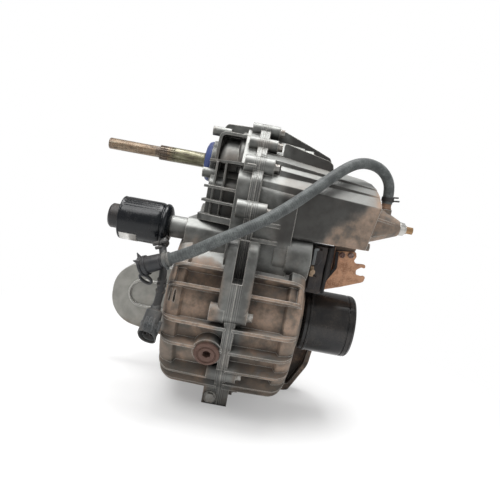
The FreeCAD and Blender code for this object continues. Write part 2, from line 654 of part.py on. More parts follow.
def right_case():
    """The right half: gear chamber, selector block with its cone, and the plain barrel end."""
    pieces = [barrel(1)] + seam_flange(1)
    pieces += [rib(1, angle) for angle in RIB_ANGLES_RIGHT]
    pieces.append(end_wall(1, RIB_ANGLES_RIGHT[1], RIB_ANGLES_RIGHT[0]))
    pieces.append(lofted_x(chamber_outline(0.0, 7.0), 0.0, chamber_outline(0.0, 13.0), CHAMBER_FRONT_X))
    rear, radii = chamber_outline(1.0, 14.0)
    rear = [(max(y, -46.0), z) for y, z in rear]
    rear[1] = (-46.0, 204.0)
    pieces.append(slab_x(rear, [0, 4, 4, 4, 16, 12, 12, 0], 20.0, CHAMBER_END_X))
    end = [(-1.0, 110.0), (BLOCK_END_X - 1, 110.0), (BLOCK_END_X, 121.0), (BLOCK_END_X + 11.0, 186.0),
           (BLOCK_END_X + 8.0, 199.0), (BLOCK_END_X - 3.0, 219.0), (BLOCK_END_X - 12.0, 245.0), (-1.0, 245.0)]
    block = lofted_x(block_outline(False), 0.0, block_outline(True), BLOCK_END_X + 12.0)
    pieces.append(block.common(slab_y(end, [0, 3, 6, 8, 8, 6, 0, 0], -90.0, 40.0)))
    pieces.append(cyl(BLOCK_END_X - 12.0, BLOCK_END_X + 5.5, -66.5, 129.0, 5.0))
    cone = [(150, 0), (150, 36), (161, 34), (163, 28), (178, 25), (CONE_END_X, CONE_END_R), (CONE_END_X, 0)]
    pieces.append(turned(cone, DRUM_Y, DRUM_Z, [0, 0, 3, 3, 8, 2, 0]))
    for angle in (0, 60, 120, 180, 240, 300):
        web = [(158.0, 20.0), (158.0, 35.0), (170.0, 29.5), (CONE_END_X - 4, 12.5), (CONE_END_X - 4, 8.0)]
        wire = rounded_wire([Vector(x, DRUM_Y - 1.8, DRUM_Z + r) for x, r in web], [0, 2, 6, 2, 0])
        pieces.append(spun(Part.Face(wire).extrude(Vector(0, 3.6, 0)), angle + 12, DRUM_Y, DRUM_Z))
    pieces.append(cyl_z(NIPPLE_X, DRUM_Y, DRUM_Z + 10, DRUM_Z + 24, 9.0))
    pieces += right_fins()
    pieces.append(foot(1, FOOT_RIGHT))
    pieces.append(cyl(40.0, CAP_X0, CAP_Y, CAP_Z, 27.0))
    pieces.append(slab_y([(130, 126), (164, 126), (158, 104), (134, 102)], [0, 0, 3, 3], BRACKET_Y + 4.02, 8.0))
    for y, z in MOUNT_BOLTS:
        pieces.append(cyl(80.0, BARREL_HALF_LENGTH + 1.5, y, z, 11.0))
    shell = joined(pieces)

    tools = [
        barrel_cavity(1),
        lofted_x(chamber_outline(WALL, 7.0), -1.0, chamber_outline(WALL, 13.0), CHAMBER_FRONT_X - WALL),
        lofted_x(block_hollow(False), -1.0, block_hollow(True), BLOCK_END_X - 8.0),
    ]
    rear_hollow = [(max(y, -39.0), z) for y, z in chamber_outline(WALL + 1.0, 14.0)[0]]
    rear_hollow[1] = (-39.0, 199.0)
    tools.append(slab_x(rear_hollow, [0, 2, 2, 2, 12, 10, 10, 0], 10.0, CHAMBER_END_X - WALL))
    shell = carved(shell, tools)

    bosses = [
        cyl(50.5, CHAMBER_END_X, INPUT_Y, INPUT_Z, 32), cyl(52.5, CHAMBER_END_X, COUNTER_Y, COUNTER_Z, 33),
        cyl(50.5, BARREL_INNER_HALF + 2, 0, 0, 42), cyl(138, BLOCK_END_X - 4, RAIL_Y, RAIL_Z, 10.3),
        cyl(CAP_X0 - 7, BARREL_HALF_LENGTH, CAP_Y, CAP_Z, CAP_RECESS_R + 5.0),
    ]
    bosses += [cyl(70.0, BARREL_HALF_LENGTH + 1, y, z, 9.0) for y, z in MOUNT_BOLTS]
    shell = joined([shell] + bosses)

    pocket = SHAFT_BEARING_R + SEAT_GAP
    tools = [
        cyl(40, 68, INPUT_Y, INPUT_Z, pocket), cyl(51, 68, COUNTER_Y, COUNTER_Z, pocket),
        cyl(49, 66.2, 0, 0, DIFF_BEARING_R + SEAT_GAP), cyl(60, 84, 0, 0, 28.0),
        cyl(130, 153, RAIL_Y, RAIL_Z, RAIL_R + RUNNING_GAP),
        cyl(140, CONE_END_X + 5, DRUM_Y, DRUM_Z, SHIFT_SHAFT_R + RUNNING_GAP),
        cyl(CONE_END_X - 6, CONE_END_X + 5, DRUM_Y, DRUM_Z, 9.0 + SEAT_GAP),
        cyl_z(NIPPLE_X, DRUM_Y, DRUM_Z + 8.5, DRUM_Z + 30, 3.0 + SEAT_GAP),
        cyl(CAP_X0, BARREL_HALF_LENGTH + 5, CAP_Y, CAP_Z, CAP_RECESS_R),
        cyl(CAP_X0 - 10, CAP_X0 + 1, CAP_Y, CAP_Z, 14.0 + SEAT_GAP),
    ]
    tools += [cyl(73.0, BARREL_HALF_LENGTH + 5, y, z, MOUNT_BOLT_R + SEAT_GAP) for y, z in MOUNT_BOLTS]
    tools += [cyl_y(x, BRACKET_Y, 4.0, z, BRACKET_BOLT_R + SEAT_GAP) for x, z in BRACKET_BOLTS]
    return carved(shell, tools + end_bore(1) + seam_cuts()).removeSplitter()


# Fasteners and bearings

def hexagon(flats, height):
    """A hexagonal prism standing on the origin along Z."""
    points = [polar(0, 0, flats / math.sqrt(3), 60.0 * i) for i in range(7)]
    return Part.Face(Part.makePolygon([Vector(a, b, 0) for a, b in points])).extrude(Vector(0, 0, height))


def placed(shape, at, way):
    """Move a shape built along Z from the origin to a point and direction."""
    copy = shape.copy()
    copy.Placement = FreeCAD.Placement(at, FreeCAD.Rotation(Vector(0, 0, 1), way))
    return copy


def flange_bolt(at, way, length, r, flats, head):
    """A flanged hexagon bolt; at is the seat under its head, way points along the shank."""
    shank = Part.makeCylinder(r, length, Vector(0, 0, -0.5))
    washer = Part.makeCylinder(flats * 0.62, 1.6, Vector(0, 0, -1.6))
    top = hexagon(flats, head)
    top.translate(Vector(0, 0, -head - 1.6))
    dish = Part.makeCone(flats * 0.36, flats * 0.30, 0.8, Vector(0, 0, -head - 1.6))
    return placed(joined([shank, washer, top]).cut(dish), at, way)


def bearing(x0, width, y, z, inner, outer):
    """A sealed ball bearing as one turned ring with the grooves beside its shields."""
    x1 = x0 + width
    a = inner + (outer - inner) * 0.26
    b = outer - (outer - inner) * 0.26
    profile = [
        (x0, inner), (x0, a), (x0 + 1.2, a), (x0 + 1.2, b), (x0, b), (x0, outer),
        (x1, outer), (x1, b), (x1 - 1.2, b), (x1 - 1.2, a), (x1, a), (x1, inner),
    ]
    return turned(profile, y, z)


def lip_seal(x0, x1, y, z, inner, outer):
    """A shaft seal with a groove in its outward face."""
    mid = (x0 + x1) / 2
    a = inner + (outer - inner) * 0.3
    b = outer - (outer - inner) * 0.25
    profile = [(x0, inner), (x0, a), (mid, a + 1), (mid, b - 1), (x0, b), (x0, outer), (x1, outer), (x1, inner)]
    return turned(profile, y, z)


def fasteners():
    """Seam bolts, mount bolts and bracket bolts, each kind one node."""
    seam = []
    for y, z, r in SEAM_BOLTS:
        seam.append(flange_bolt(Vector(SEAM_BOSS_HALF + SEAT_GAP, y, z), Vector(-1, 0, 0), 2 * SEAM_BOSS_HALF - 2,
                                SEAM_BOLT_R, 10.0, 5.5))
    add("case_bolts", Part.makeCompound(seam))
    for node, side in (("arm_bolts", -1), ("foot_bolts", 1)):
        seat = side * (BARREL_HALF_LENGTH + 1.5 + MOUNT_PLATE + 2 * SEAT_GAP)
        group = [flange_bolt(Vector(seat, y, z), Vector(-side, 0, 0), 20.0, MOUNT_BOLT_R, 11.5, 6.0)
                 for y, z in MOUNT_BOLTS]
        add(node, Part.makeCompound(group))
    group = [flange_bolt(Vector(x, BRACKET_Y - SEAT_GAP, z), Vector(0, 1, 0), 12.0, BRACKET_BOLT_R, 7.0, 4.0)
             for x, z in BRACKET_BOLTS]
    add("bracket_bolts", Part.makeCompound(group))


def bearings_and_seals():
    """Rolling bearings and shaft seals, all seated in the case."""
    run = RUNNING_GAP
    r = SHAFT_BEARING_R
    add("input_bearing_left", bearing(-64, 14, INPUT_Y, INPUT_Z, INPUT_END_R + run, r))
    add("input_bearing_right", bearing(54, 14, INPUT_Y, INPUT_Z, INPUT_END_R + run, r))
    add("counter_bearing_left", bearing(-70, 14, COUNTER_Y, COUNTER_Z, COUNTER_END_R + run, r))
    add("counter_bearing_right", bearing(54, 14, COUNTER_Y, COUNTER_Z, COUNTER_END_R + run, r))
    add("carrier_bearing", bearing(50.2, 16, 0, 0, CARRIER_HUB_R + run, DIFF_BEARING_R))
    w = DIFF_BEARING_WIDTH
    x = BARREL_INNER_HALF
    add("output_bearing_left", bearing(-x - w, w, 0, 0, OUTPUT_R + run, DIFF_BEARING_R))
    add("output_bearing_right", bearing(x, w, 0, 0, OUTPUT_R + run, DIFF_BEARING_R))
    end = BARREL_HALF_LENGTH + HUB_LENGTH
    add("output_seal_left", lip_seal(-end, -x - w - 0.1, 0, 0, OUTPUT_R + run, OUTPUT_SEAL_R))
    add("output_seal_right", lip_seal(end, x + w + 0.1, 0, 0, OUTPUT_R + run, OUTPUT_SEAL_R))
    seal = [(-83, INPUT_R + run), (-83, 22), (-80, 28), (-76, 30), (-73.05, 30), (-73.05, 26), (-65, 26),
            (-65, INPUT_R + run)]
    add("input_seal", turned(seal, INPUT_Y, INPUT_Z, [0, 3, 2, 2, 0, 0, 0, 0]))


# Shafts and gears

def input_shaft():
    """The driven shaft with its two pinions cut on it and the long pilot outside."""
    y, z = INPUT_Y, INPUT_Z
    profile = [
        (-INPUT_LENGTH_OUT, 0), (-INPUT_LENGTH_OUT, INPUT_PILOT_R), (INPUT_SPLINE_X0, INPUT_PILOT_R),
        (INPUT_SPLINE_X0, INPUT_OUTER_R - 1.2), (INPUT_SPLINE_X1, INPUT_OUTER_R - 1.2),
        (INPUT_SPLINE_X1, INPUT_OUTER_R), (-86, INPUT_OUTER_R), (-84, INPUT_R), (-64.5, INPUT_R),
        (-64.5, INPUT_END_R), (-49.5, INPUT_END_R), (-49.5, 19), (-30, 19), (-30, 17), (53.5, 17),
        (53.5, INPUT_END_R), (68, INPUT_END_R), (68, 0),
    ]
    core = turned(profile, y, z, [0, 1.5] + [0] * 14 + [1.0, 0])
    teeth = []
    for i in range(INPUT_SPLINE_TEETH):
        key = box(INPUT_SPLINE_X0, INPUT_SPLINE_X1, y, y + INPUT_OUTER_R, z - 1.0, z + 1.0)
        teeth.append(spun(key, 360.0 * i / INPUT_SPLINE_TEETH, y, z))
    high = gear(HIGH_PINION_TEETH, GEAR_MODULE, HIGH_X - PINION_EXTRA_FACE, HIGH_END_X + PINION_EXTRA_FACE, y, z,
                STAGE_LINE + 180 + 180 / HIGH_PINION_TEETH)
    low = gear(LOW_PINION_TEETH, GEAR_MODULE, LOW_X - PINION_EXTRA_FACE, LOW_END_X + PINION_EXTRA_FACE, y, z,
               STAGE_LINE + 180 + 180 / LOW_PINION_TEETH)
    add("input_shaft", joined([core, high, low] + teeth))


def counter_shaft():
    """The middle shaft with the final pinion, and the splined hub pressed on it."""
    y, z = COUNTER_Y, COUNTER_Z
    profile = [
        (-69.5, 0), (-69.5, COUNTER_END_R), (-55.5, COUNTER_END_R), (-55.5, 17), (-53, 17), (-53, 18), (-27, 18),
        (-27, COUNTER_R), (50.5, COUNTER_R), (50.5, COUNTER_END_R), (67.5, COUNTER_END_R), (67.5, 0),
    ]
    core = turned(profile, y, z, [0, 1.0] + [0] * 8 + [1.0, 0])
    pinion = gear(FINAL_PINION_TEETH, FINAL_MODULE, FINAL_X - PINION_EXTRA_FACE, FINAL_END_X + PINION_EXTRA_FACE,
                  y, z, FINAL_LINE + 180 + 180 / FINAL_PINION_TEETH)
    add("counter_shaft", joined([core, pinion]))
    hub = splined(DOG_X0 - 2.5, DOG_X1 + 2.5, y, z, HUB_SPLINE_R, SPLINE_TOOTH_HEIGHT, SPLINE_TEETH,
                  SPLINE_TOOTH_WIDTH)
    hub = hub.fuse(cyl(HIGH_END_X + 0.3, LOW_X - 0.3, y, z, HUB_SPLINE_R))
    add("dog_hub", hub.cut(cyl(-60, 60, y, z, COUNTER_R + SEAT_GAP)).removeSplitter())


def free_gear(node, teeth, x0, x1, lug_side):
    """A gear turning freely on the middle shaft, webbed, with dog lugs on one face."""
    y, z = COUNTER_Y, COUNTER_Z
    r_root = pitch_radius(teeth, GEAR_MODULE) - 1.25 * GEAR_MODULE
    body = gear(teeth, GEAR_MODULE, x0, x1, y, z, STAGE_LINE, COUNTER_R + RUNNING_GAP)
    recess = cyl(x0 - 1, x0 + 4, y, z, r_root - 6).cut(cyl(x0 - 2, x0 + 5, y, z, DOG_OUTER_R + 2))
    other = recess.copy()
    other.translate(Vector(x1 - x0 - 3, 0, 0))
    body = body.cut([recess, other])
    lug_x = x1 if lug_side > 0 else x0 - DOG_LUG_HEIGHT
    lugs = lug_ring(lug_x, lug_x + DOG_LUG_HEIGHT, y, z, DOG_INNER_R, DOG_OUTER_R, DOG_LUGS, DOG_LUG_ANGLE,
                    180.0 / DOG_LUGS)
    add(node, joined([body] + lugs))


def dog_collar():
    """The sliding collar that locks either free gear to the middle shaft."""
    y, z = COUNTER_Y, COUNTER_Z
    x0, x1 = DOG_X0 + DOG_LUG_HEIGHT, DOG_X1 - DOG_LUG_HEIGHT
    half = FORK_THICKNESS / 2 + 0.2
    rim = DOG_OUTER_R + 2
    profile = [
        (x0, 0), (x0, rim), (DOG_MIDDLE - half, rim), (DOG_MIDDLE - half, rim - FORK_GROOVE_DEPTH),
        (DOG_MIDDLE + half, rim - FORK_GROOVE_DEPTH), (DOG_MIDDLE + half, rim), (x1, rim), (x1, 0),
    ]
    pieces = [turned(profile, y, z)]
    for a in (DOG_X0, x1):
        pieces += lug_ring(a, a + DOG_LUG_HEIGHT, y, z, DOG_INNER_R, DOG_OUTER_R, DOG_LUGS, DOG_LUG_ANGLE, 0.0)
    bore = splined(x0 - 1, x1 + 1, y, z, HUB_SPLINE_R, SPLINE_TOOTH_HEIGHT, SPLINE_TEETH, SPLINE_TOOTH_WIDTH,
                   RUNNING_GAP)
    add("dog_collar", joined(pieces).cut(bore))


# Shift mechanism

def shift_mechanism():
    """Drum on the selector shaft, rail with its follower pin, and the fork."""
    y, z = COUNTER_Y, COUNTER_Z
    way = math.degrees(math.atan2(RAIL_Z - z, RAIL_Y - y))
    inner = DOG_OUTER_R + 2 - FORK_GROOVE_DEPTH + 0.3
    x0, x1 = DOG_MIDDLE - FORK_THICKNESS / 2, DOG_MIDDLE + FORK_THICKNESS / 2
    ring = cyl(x0, x1, y, z, inner + 9).cut(cyl(x0 - 1, x1 + 1, y, z, inner))
    span = [(y, z)] + [polar(y, z, 90, way + a) for a in (-92, -45, 0, 45, 92)]
    ring = ring.common(slab_x(span, [0] * 6, x0, x1))
    rail_reach = math.hypot(RAIL_Y - y, RAIL_Z - z)
    arm = box(x0, x1, y + inner + 4, y + rail_reach, z - 8, z + 8)
    web = box(x0 + 2, x1 - 2, y + inner + 4, y + rail_reach, z - 14, z + 14)
    hub = cyl(DOG_MIDDLE - 10, DOG_MIDDLE + 10, RAIL_Y, RAIL_Z, 11.5)
    fork = joined([ring, spun(arm, way, y, z), spun(web, way, y, z), hub])
    add("shift_fork", fork.cut(cyl(-60, 60, RAIL_Y, RAIL_Z, RAIL_R + SEAT_GAP)))

    rail = cyl(-14, 143, RAIL_Y, RAIL_Z, RAIL_R)
    reach = math.hypot(RAIL_Y - DRUM_Y, RAIL_Z - DRUM_Z)
    to_drum = Vector(0, DRUM_Y - RAIL_Y, DRUM_Z - RAIL_Z).normalize()
    pin = Part.makeCylinder(PIN_R, reach - DRUM_R + GROOVE_DEPTH - 0.6, Vector(PIN_X, RAIL_Y, RAIL_Z), to_drum)
    add("shift_rail", joined([rail, pin]))

    pitch = SHIFT_TRAVEL / SHIFT_TURN * 360
    spread = 2 * (SHIFT_TURN + 16)
    mid_r = DRUM_R - GROOVE_DEPTH / 2 + 1.5
    height = pitch * spread / 360
    helix = Part.makeHelix(pitch, height, mid_r)
    section = Part.makePolygon([
        Vector(DRUM_R - GROOVE_DEPTH, 0, -GROOVE_HALF), Vector(DRUM_R + 3, 0, -GROOVE_HALF),
        Vector(DRUM_R + 3, 0, GROOVE_HALF), Vector(DRUM_R - GROOVE_DEPTH, 0, GROOVE_HALF),
        Vector(DRUM_R - GROOVE_DEPTH, 0, -GROOVE_HALF),
    ])
    groove = Part.Wire(helix).makePipeShell([section], True, True)
    groove.translate(Vector(0, 0, -height / 2))
    groove.rotate(Vector(0, 0, 0), Vector(0, 0, 1), -spread / 2)
    groove.rotate(Vector(0, 0, 0), Vector(1, 1, 1), 120)
    groove.translate(Vector(PIN_X, DRUM_Y, DRUM_Z))
    groove = spun(groove, DRUM_LINE, DRUM_Y, DRUM_Z)
    drum = turned([(DRUM_X0, 0), (DRUM_X0, DRUM_R), (DRUM_X1, DRUM_R), (DRUM_X1, 0)], DRUM_Y, DRUM_Z, [0, 2, 2, 0])
    drum = drum.cut([groove, cyl(DRUM_X0 - 1, DRUM_X1 + 1, DRUM_Y, DRUM_Z, SHIFT_SHAFT_R + SEAT_GAP)])
    add("shift_drum", drum)
    shaft = turned([
        (DRUM_X0 - 4, 0), (DRUM_X0 - 4, SHIFT_SHAFT_R), (SHIFT_TIP_X - 11, SHIFT_SHAFT_R), (SHIFT_TIP_X - 11, 6),
        (SHIFT_TIP_X, 6), (SHIFT_TIP_X, 0)], DRUM_Y, DRUM_Z, [0, 1, 0, 0, 1, 0])
    flats = [box(SHIFT_TIP_X - 9, SHIFT_TIP_X + 1, DRUM_Y - 9, DRUM_Y + 9, DRUM_Z + side * 6.6 - 1.6,
                 DRUM_Z + side * 6.6 + 1.6) for side in (-1, 1)]
    add("shift_shaft", shaft.cut(flats))
    sleeve = [(CONE_END_X - 5, SHIFT_SHAFT_R + RUNNING_GAP), (CONE_END_X - 5, 9), (CONE_END_X + 0.05, 9),
              (CONE_END_X + 0.05, 10), (CONE_END_X + 8, 9.2), (CONE_END_X + 8, SHIFT_SHAFT_R + RUNNING_GAP)]
    add("shift_shaft_seal", turned(sleeve, DRUM_Y, DRUM_Z, [0, 0, 0, 1, 1, 0]))


# Differential

def bevel(teeth, mate, blank, phase):
    """A straight bevel gear with its apex at the origin and its axis along +Z."""
    r_pitch = pitch_radius(teeth, BEVEL_MODULE)
    cone = math.atan2(teeth, mate)
    distance = r_pitch / math.sin(cone)
    head, foot_depth = 0.9 * BEVEL_MODULE, 1.2 * BEVEL_MODULE
    pressure = math.radians(PRESSURE_ANGLE)
    r_equal = r_pitch / math.cos(cone)
    r_base = r_equal * math.cos(pressure)

    def half_thickness(r):
        local = math.acos(min(1.0, r_base / r))
        angle = (math.pi * BEVEL_MODULE - BEVEL_BACKLASH) / (4 * r_equal) + involute(pressure) - involute(local)
        return angle * r

    tip = half_thickness(r_equal + head) / (r_pitch + head * math.cos(cone))
    root = half_thickness(max(r_equal - foot_depth, r_base)) / (r_pitch - foot_depth * math.cos(cone))
    tan_tip = math.tan(cone + math.atan2(head, distance))
    tan_root = math.tan(cone - math.atan2(foot_depth, distance))

    def section(h):
        points = []
        for i in range(teeth):
            middle = math.radians(phase) + 2 * math.pi * i / teeth
            for tangent, a in ((tan_root, -root), (tan_tip, -tip), (tan_tip, tip), (tan_root, root)):
                points.append(Vector(h * tangent * math.cos(middle + a), h * tangent * math.sin(middle + a), h))
        points.append(points[0])
        return Part.makePolygon(points)

    wire = Part.makePolygon([Vector(r, 0, h) for h, r in blank + [blank[0]]])
    body = Part.Face(wire).revolve(Vector(0, 0, 0), Vector(0, 0, 1), 360)
    low = min(h for h, r in blank) - 0.5
    high = max(h for h, r in blank) + 0.5
    return Part.makeLoft([section(low), section(high)], True, True).common(body)


def bevel_blank(teeth, mate, back, back_r, bore):
    """The turned blank of a bevel gear as (height, radius) corners."""
    r_pitch = pitch_radius(teeth, BEVEL_MODULE)
    height = pitch_radius(mate, BEVEL_MODULE)
    cone = math.atan2(teeth, mate)
    inner = 1 - BEVEL_FACE * math.sin(cone) / r_pitch
    head, foot_depth = 0.9 * BEVEL_MODULE, 1.2 * BEVEL_MODULE
    tip = (height - head * math.sin(cone), r_pitch + head * math.cos(cone))
    root = (height + foot_depth * math.sin(cone), r_pitch - foot_depth * math.cos(cone))
    return [
        (back, bore), (back, back_r), root, tip, (tip[0] * inner, tip[1] * inner),
        (root[0] * inner, root[1] * inner), (root[0] * inner, bore),
    ]


def differential():
    """Carrier, ring gear and the four bevel gears with the two output shafts."""
    middle = Vector(DIFF_X, 0, 0)
    half = CARRIER_HALF
    c = DIFF_X
    outer = [
        (RING_FLANGE_X, 0), (RING_FLANGE_X, RING_FLANGE_R), (FINAL_X - 0.02, RING_FLANGE_R),
        (FINAL_X - 0.02, RING_BORE_R - 0.02), (FINAL_X + 6, RING_BORE_R - 0.02), (FINAL_X + 6, 27), (c - half, 27),
        (c - half, CARRIER_R), (c + half, CARRIER_R), (c + half, 26), (c + half + 1.8, 26),
        (c + half + 1.8, CARRIER_HUB_R), (68, CARRIER_HUB_R), (68, 0),
    ]
    radii = [0, 2, 0, 0, 2, 5, 3, 4, 4, 0, 0, 0, 1, 0]
    carrier = turned(outer, radii=radii)
    lugs = lug_ring(RING_FLANGE_X - LOCK_LUG_HEIGHT, RING_FLANGE_X, 0, 0, LOCK_INNER_R, LOCK_OUTER_R, DOG_LUGS,
                    DOG_LUG_ANGLE, 180.0 / DOG_LUGS)
    carrier = joined([carrier] + lugs)
    tools = [
        cyl(c - SIDE_BACK - 0.1, c + SIDE_BACK + 0.1, 0, 0, 27.0), cyl(-80, 90, 0, 0, OUTPUT_R + RUNNING_GAP),
        cyl_z(c, 0, -SPIDER_BACK - 0.1, SPIDER_BACK + 0.1, 18.8),
        cyl_z(c, 0, -60, 60, SPIDER_PIN_R + SEAT_GAP), box(c - 16, c + 16, -50, 50, -15, 15),
    ]
    for i in range(RING_BOLTS):
        y, z = polar(0, 0, RING_BOLT_CIRCLE, 360.0 * i / RING_BOLTS)
        tools.append(cyl(-80, -40, y, z, 4.0 + LOOSE_GAP))
    add("diff_carrier", carrier.cut(tools))

    ring = gear(RING_GEAR_TEETH, FINAL_MODULE, FINAL_X, FINAL_END_X, 0, 0, FINAL_LINE, RING_BORE_R)
    recess = cyl(FINAL_END_X - 8, FINAL_END_X + 1, 0, 0, pitch_radius(RING_GEAR_TEETH, FINAL_MODULE) - 12)
    ring = ring.cut(recess.cut(cyl(FINAL_END_X - 9, FINAL_END_X + 2, 0, 0, 78)))
    holes, bolts = [], []
    for i in range(RING_BOLTS):
        y, z = polar(0, 0, RING_BOLT_CIRCLE, 360.0 * i / RING_BOLTS)
        holes.append(cyl(FINAL_X - 1, FINAL_X + 15, y, z, 4.0 + SEAT_GAP))
        bolts.append(flange_bolt(Vector(RING_FLANGE_X - SEAT_GAP, y, z), Vector(1, 0, 0), 20, 4.0, 9.0, 3.6))
    add("ring_gear", ring.cut(holes))
    add("ring_gear_bolts", Part.makeCompound(bolts))
    add("spider_pin", cyl_z(c, 0, -CARRIER_R + 1, CARRIER_R - 1, SPIDER_PIN_R))

    spider = bevel(SPIDER_TEETH, SIDE_TEETH, bevel_blank(SPIDER_TEETH, SIDE_TEETH, SPIDER_BACK, 11.5,
                                                         SPIDER_PIN_R + RUNNING_GAP), 180.0 / SPIDER_TEETH)
    add("spider_gear_top", placed(spider, middle, Vector(0, 0, 1)))
    lower = spider.copy()
    lower.rotate(Vector(0, 0, 0), Vector(1, 0, 0), 180)
    lower.translate(middle)
    add("spider_gear_bottom", lower)

    side = bevel(SIDE_TEETH, SPIDER_TEETH, bevel_blank(SIDE_TEETH, SPIDER_TEETH, SIDE_BACK, 19.5, 10.0), 0.0)
    bore = splined(-30, 30, 0, 0, SIDE_SPLINE_R, 1.8, 8, 3.4, SEAT_GAP)
    right = side.copy()
    right.rotate(Vector(0, 0, 0), Vector(0, 1, 0), 90)
    left = side.copy()
    left.rotate(Vector(0, 0, 0), Vector(0, 1, 0), -90)
    add("side_gear_right", moved(right.cut(bore), middle))
    add("side_gear_left", moved(left.cut(bore), middle))

    key = splined(c - SIDE_BACK, c - 9, 0, 0, SIDE_SPLINE_R, 1.8, 8, 3.4)
    end = BARREL_HALF_LENGTH + HUB_LENGTH
    shaft = joined([cyl(-end, c - SIDE_BACK, 0, 0, OUTPUT_R), key])
    shaft = shaft.fuse(splined(-BARREL_INNER_HALF + 0.5, RING_FLANGE_X - 0.6, 0, 0, OUTPUT_R, SPLINE_TOOTH_HEIGHT,
                               SPLINE_TEETH, 5.0))
    socket = splined(-end - 1, -end + 30, 0, 0, 7.5, 1.5, 16, 1.5)
    add("left_output_shaft", shaft.cut(socket).removeSplitter())

    key = splined(c + 9, c + SIDE_BACK, 0, 0, SIDE_SPLINE_R, 1.8, 8, 3.4)
    cup = cup_profile()
    add("right_output_cup", joined([cyl(c + SIDE_BACK, CUP_X0 + 2, 0, 0, OUTPUT_R), key, cup]))
    add("cup_ring", turned([(CUP_X0 + 8, CUP_R + 0.02 - 2.5), (CUP_X0 + 8, CUP_R + 1.2), (CUP_X0 + 12, CUP_R + 1.2),
                            (CUP_X0 + 12, CUP_R + 0.02 - 2.5)], radii=[0, 1, 1, 0]))


def cup_profile():
    """The joint cup at the right end, hollow, with grooves at its rim."""
    r, a, b = CUP_R, CUP_X0, CUP_X1
    profile = [
        (a, 0), (a, r - 3), (a + 3, r), (a + 8, r), (a + 8, r - 2.5), (a + 12, r - 2.5), (a + 12, r), (b - 13, r),
        (b - 13, r - 1.5), (b - 10, r - 1.5), (b - 10, r), (b - 6, r), (b - 6, r - 1.5), (b - 3.5, r - 1.5),
        (b - 3.5, r - 0.5), (b, r - 3), (b, r - CUP_WALL - 2), (a + CUP_FLOOR, r - CUP_WALL - 2),
        (a + CUP_FLOOR, 0),
    ]
    return turned(profile, radii=[0, 2, 2] + [0] * 11 + [0, 2, 0, 8, 0])


def moved(shape, offset):
    """A copy moved by an offset."""
    copy = shape.copy()
    copy.translate(offset)
    return copy


# Differential lock

def lock():
    """Solenoid, its rod and fork, and the collar that locks the left output to the carrier."""
    x0 = RING_FLANGE_X - LOCK_LUG_HEIGHT - 1.0
    profile = [
        (LOCK_BODY_X0, 0), (LOCK_BODY_X0, LOCK_OUTER_R + 2), (LOCK_BODY_X0 + 2.5, LOCK_OUTER_R + 2),
        (LOCK_BODY_X0 + 2.5, LOCK_OUTER_R - 3), (LOCK_BODY_X0 + 7.0, LOCK_OUTER_R - 3),
        (LOCK_BODY_X0 + 7.0, LOCK_OUTER_R + 2), (x0 - LOCK_LUG_HEIGHT, LOCK_OUTER_R + 2), (x0 - LOCK_LUG_HEIGHT, 0),
    ]
    pieces = [turned(profile)]
    pieces += lug_ring(x0 - LOCK_LUG_HEIGHT, x0, 0, 0, LOCK_INNER_R, LOCK_OUTER_R, DOG_LUGS, DOG_LUG_ANGLE, 0.0)
    bore = splined(-100, 0, 0, 0, OUTPUT_R, SPLINE_TOOTH_HEIGHT, SPLINE_TEETH, 5.0, RUNNING_GAP)
    add("lock_collar", joined(pieces).cut(bore))

    way = math.degrees(math.atan2(LOCK_Z, LOCK_Y))
    fork_x0, fork_x1 = LOCK_BODY_X0 + 2.75, LOCK_BODY_X0 + 6.75
    inner = LOCK_OUTER_R - 2.7
    ring = cyl(fork_x0, fork_x1, 0, 0, inner + 9).cut(cyl(fork_x0 - 1, fork_x1 + 1, 0, 0, inner))
    span = [(0, 0)] + [polar(0, 0, 90, way + a) for a in (-92, -45, 0, 45, 92)]
    ring = ring.common(slab_x(span, [0] * 6, fork_x0, fork_x1))
    reach = math.hypot(LOCK_Y, LOCK_Z)
    arm = spun(box(fork_x0, fork_x1, inner + 4, reach, -7, 7), way)
    hub = cyl(fork_x0, fork_x0 + 8, LOCK_Y, LOCK_Z, 8.5)
    add("lock_fork", joined([ring, arm, hub]).cut(cyl(-100, 0, LOCK_Y, LOCK_Z, LOCK_ROD_R + SEAT_GAP)))
    add("lock_rod", cyl(SOLENOID_X1 - 10, fork_x0 + 10, LOCK_Y, LOCK_Z, LOCK_ROD_R))

    body = turned([
        (SOLENOID_X0, 0), (SOLENOID_X0, SOLENOID_R - 1), (SOLENOID_X0 + 1.5, SOLENOID_R),
        (SOLENOID_X1, SOLENOID_R), (SOLENOID_X1, 0)], LOCK_Y, LOCK_Z, [0, 2, 0, 9, 0])
    ridges = [spun(cyl(SOLENOID_X0 + 5, SOLENOID_X1 - 8, LOCK_Y + SOLENOID_R - 0.3, LOCK_Z, 1.0), a, LOCK_Y, LOCK_Z)
              for a in (58, 70, 82, 94, 106, 118, 130)]
    body = joined([body] + ridges).cut([
        cyl(SOLENOID_X1 - 14, SOLENOID_X1 + 1, LOCK_Y, LOCK_Z, LOCK_ROD_R + RUNNING_GAP),
        cyl(SOLENOID_X0 - 1, SOLENOID_X0 + 6, LOCK_Y, LOCK_Z, 12.0 + SEAT_GAP)])
    add("solenoid_body", body)
    cap = [(SOLENOID_X0 + 6, 0), (SOLENOID_X0 + 6, 12), (SOLENOID_X0 - SEAT_GAP, 12),
           (SOLENOID_X0 - SEAT_GAP, SOLENOID_CAP_R), (SOLENOID_CAP_X + 3, SOLENOID_CAP_R),
           (SOLENOID_CAP_X, SOLENOID_CAP_R - 3), (SOLENOID_CAP_X, 6), (SOLENOID_CAP_X + 2, 5), (SOLENOID_CAP_X + 2, 0)]
    add("solenoid_cap", turned(cap, LOCK_Y, LOCK_Z, [0, 0, 0, 2, 2, 2, 0, 0, 0]))


# Cords

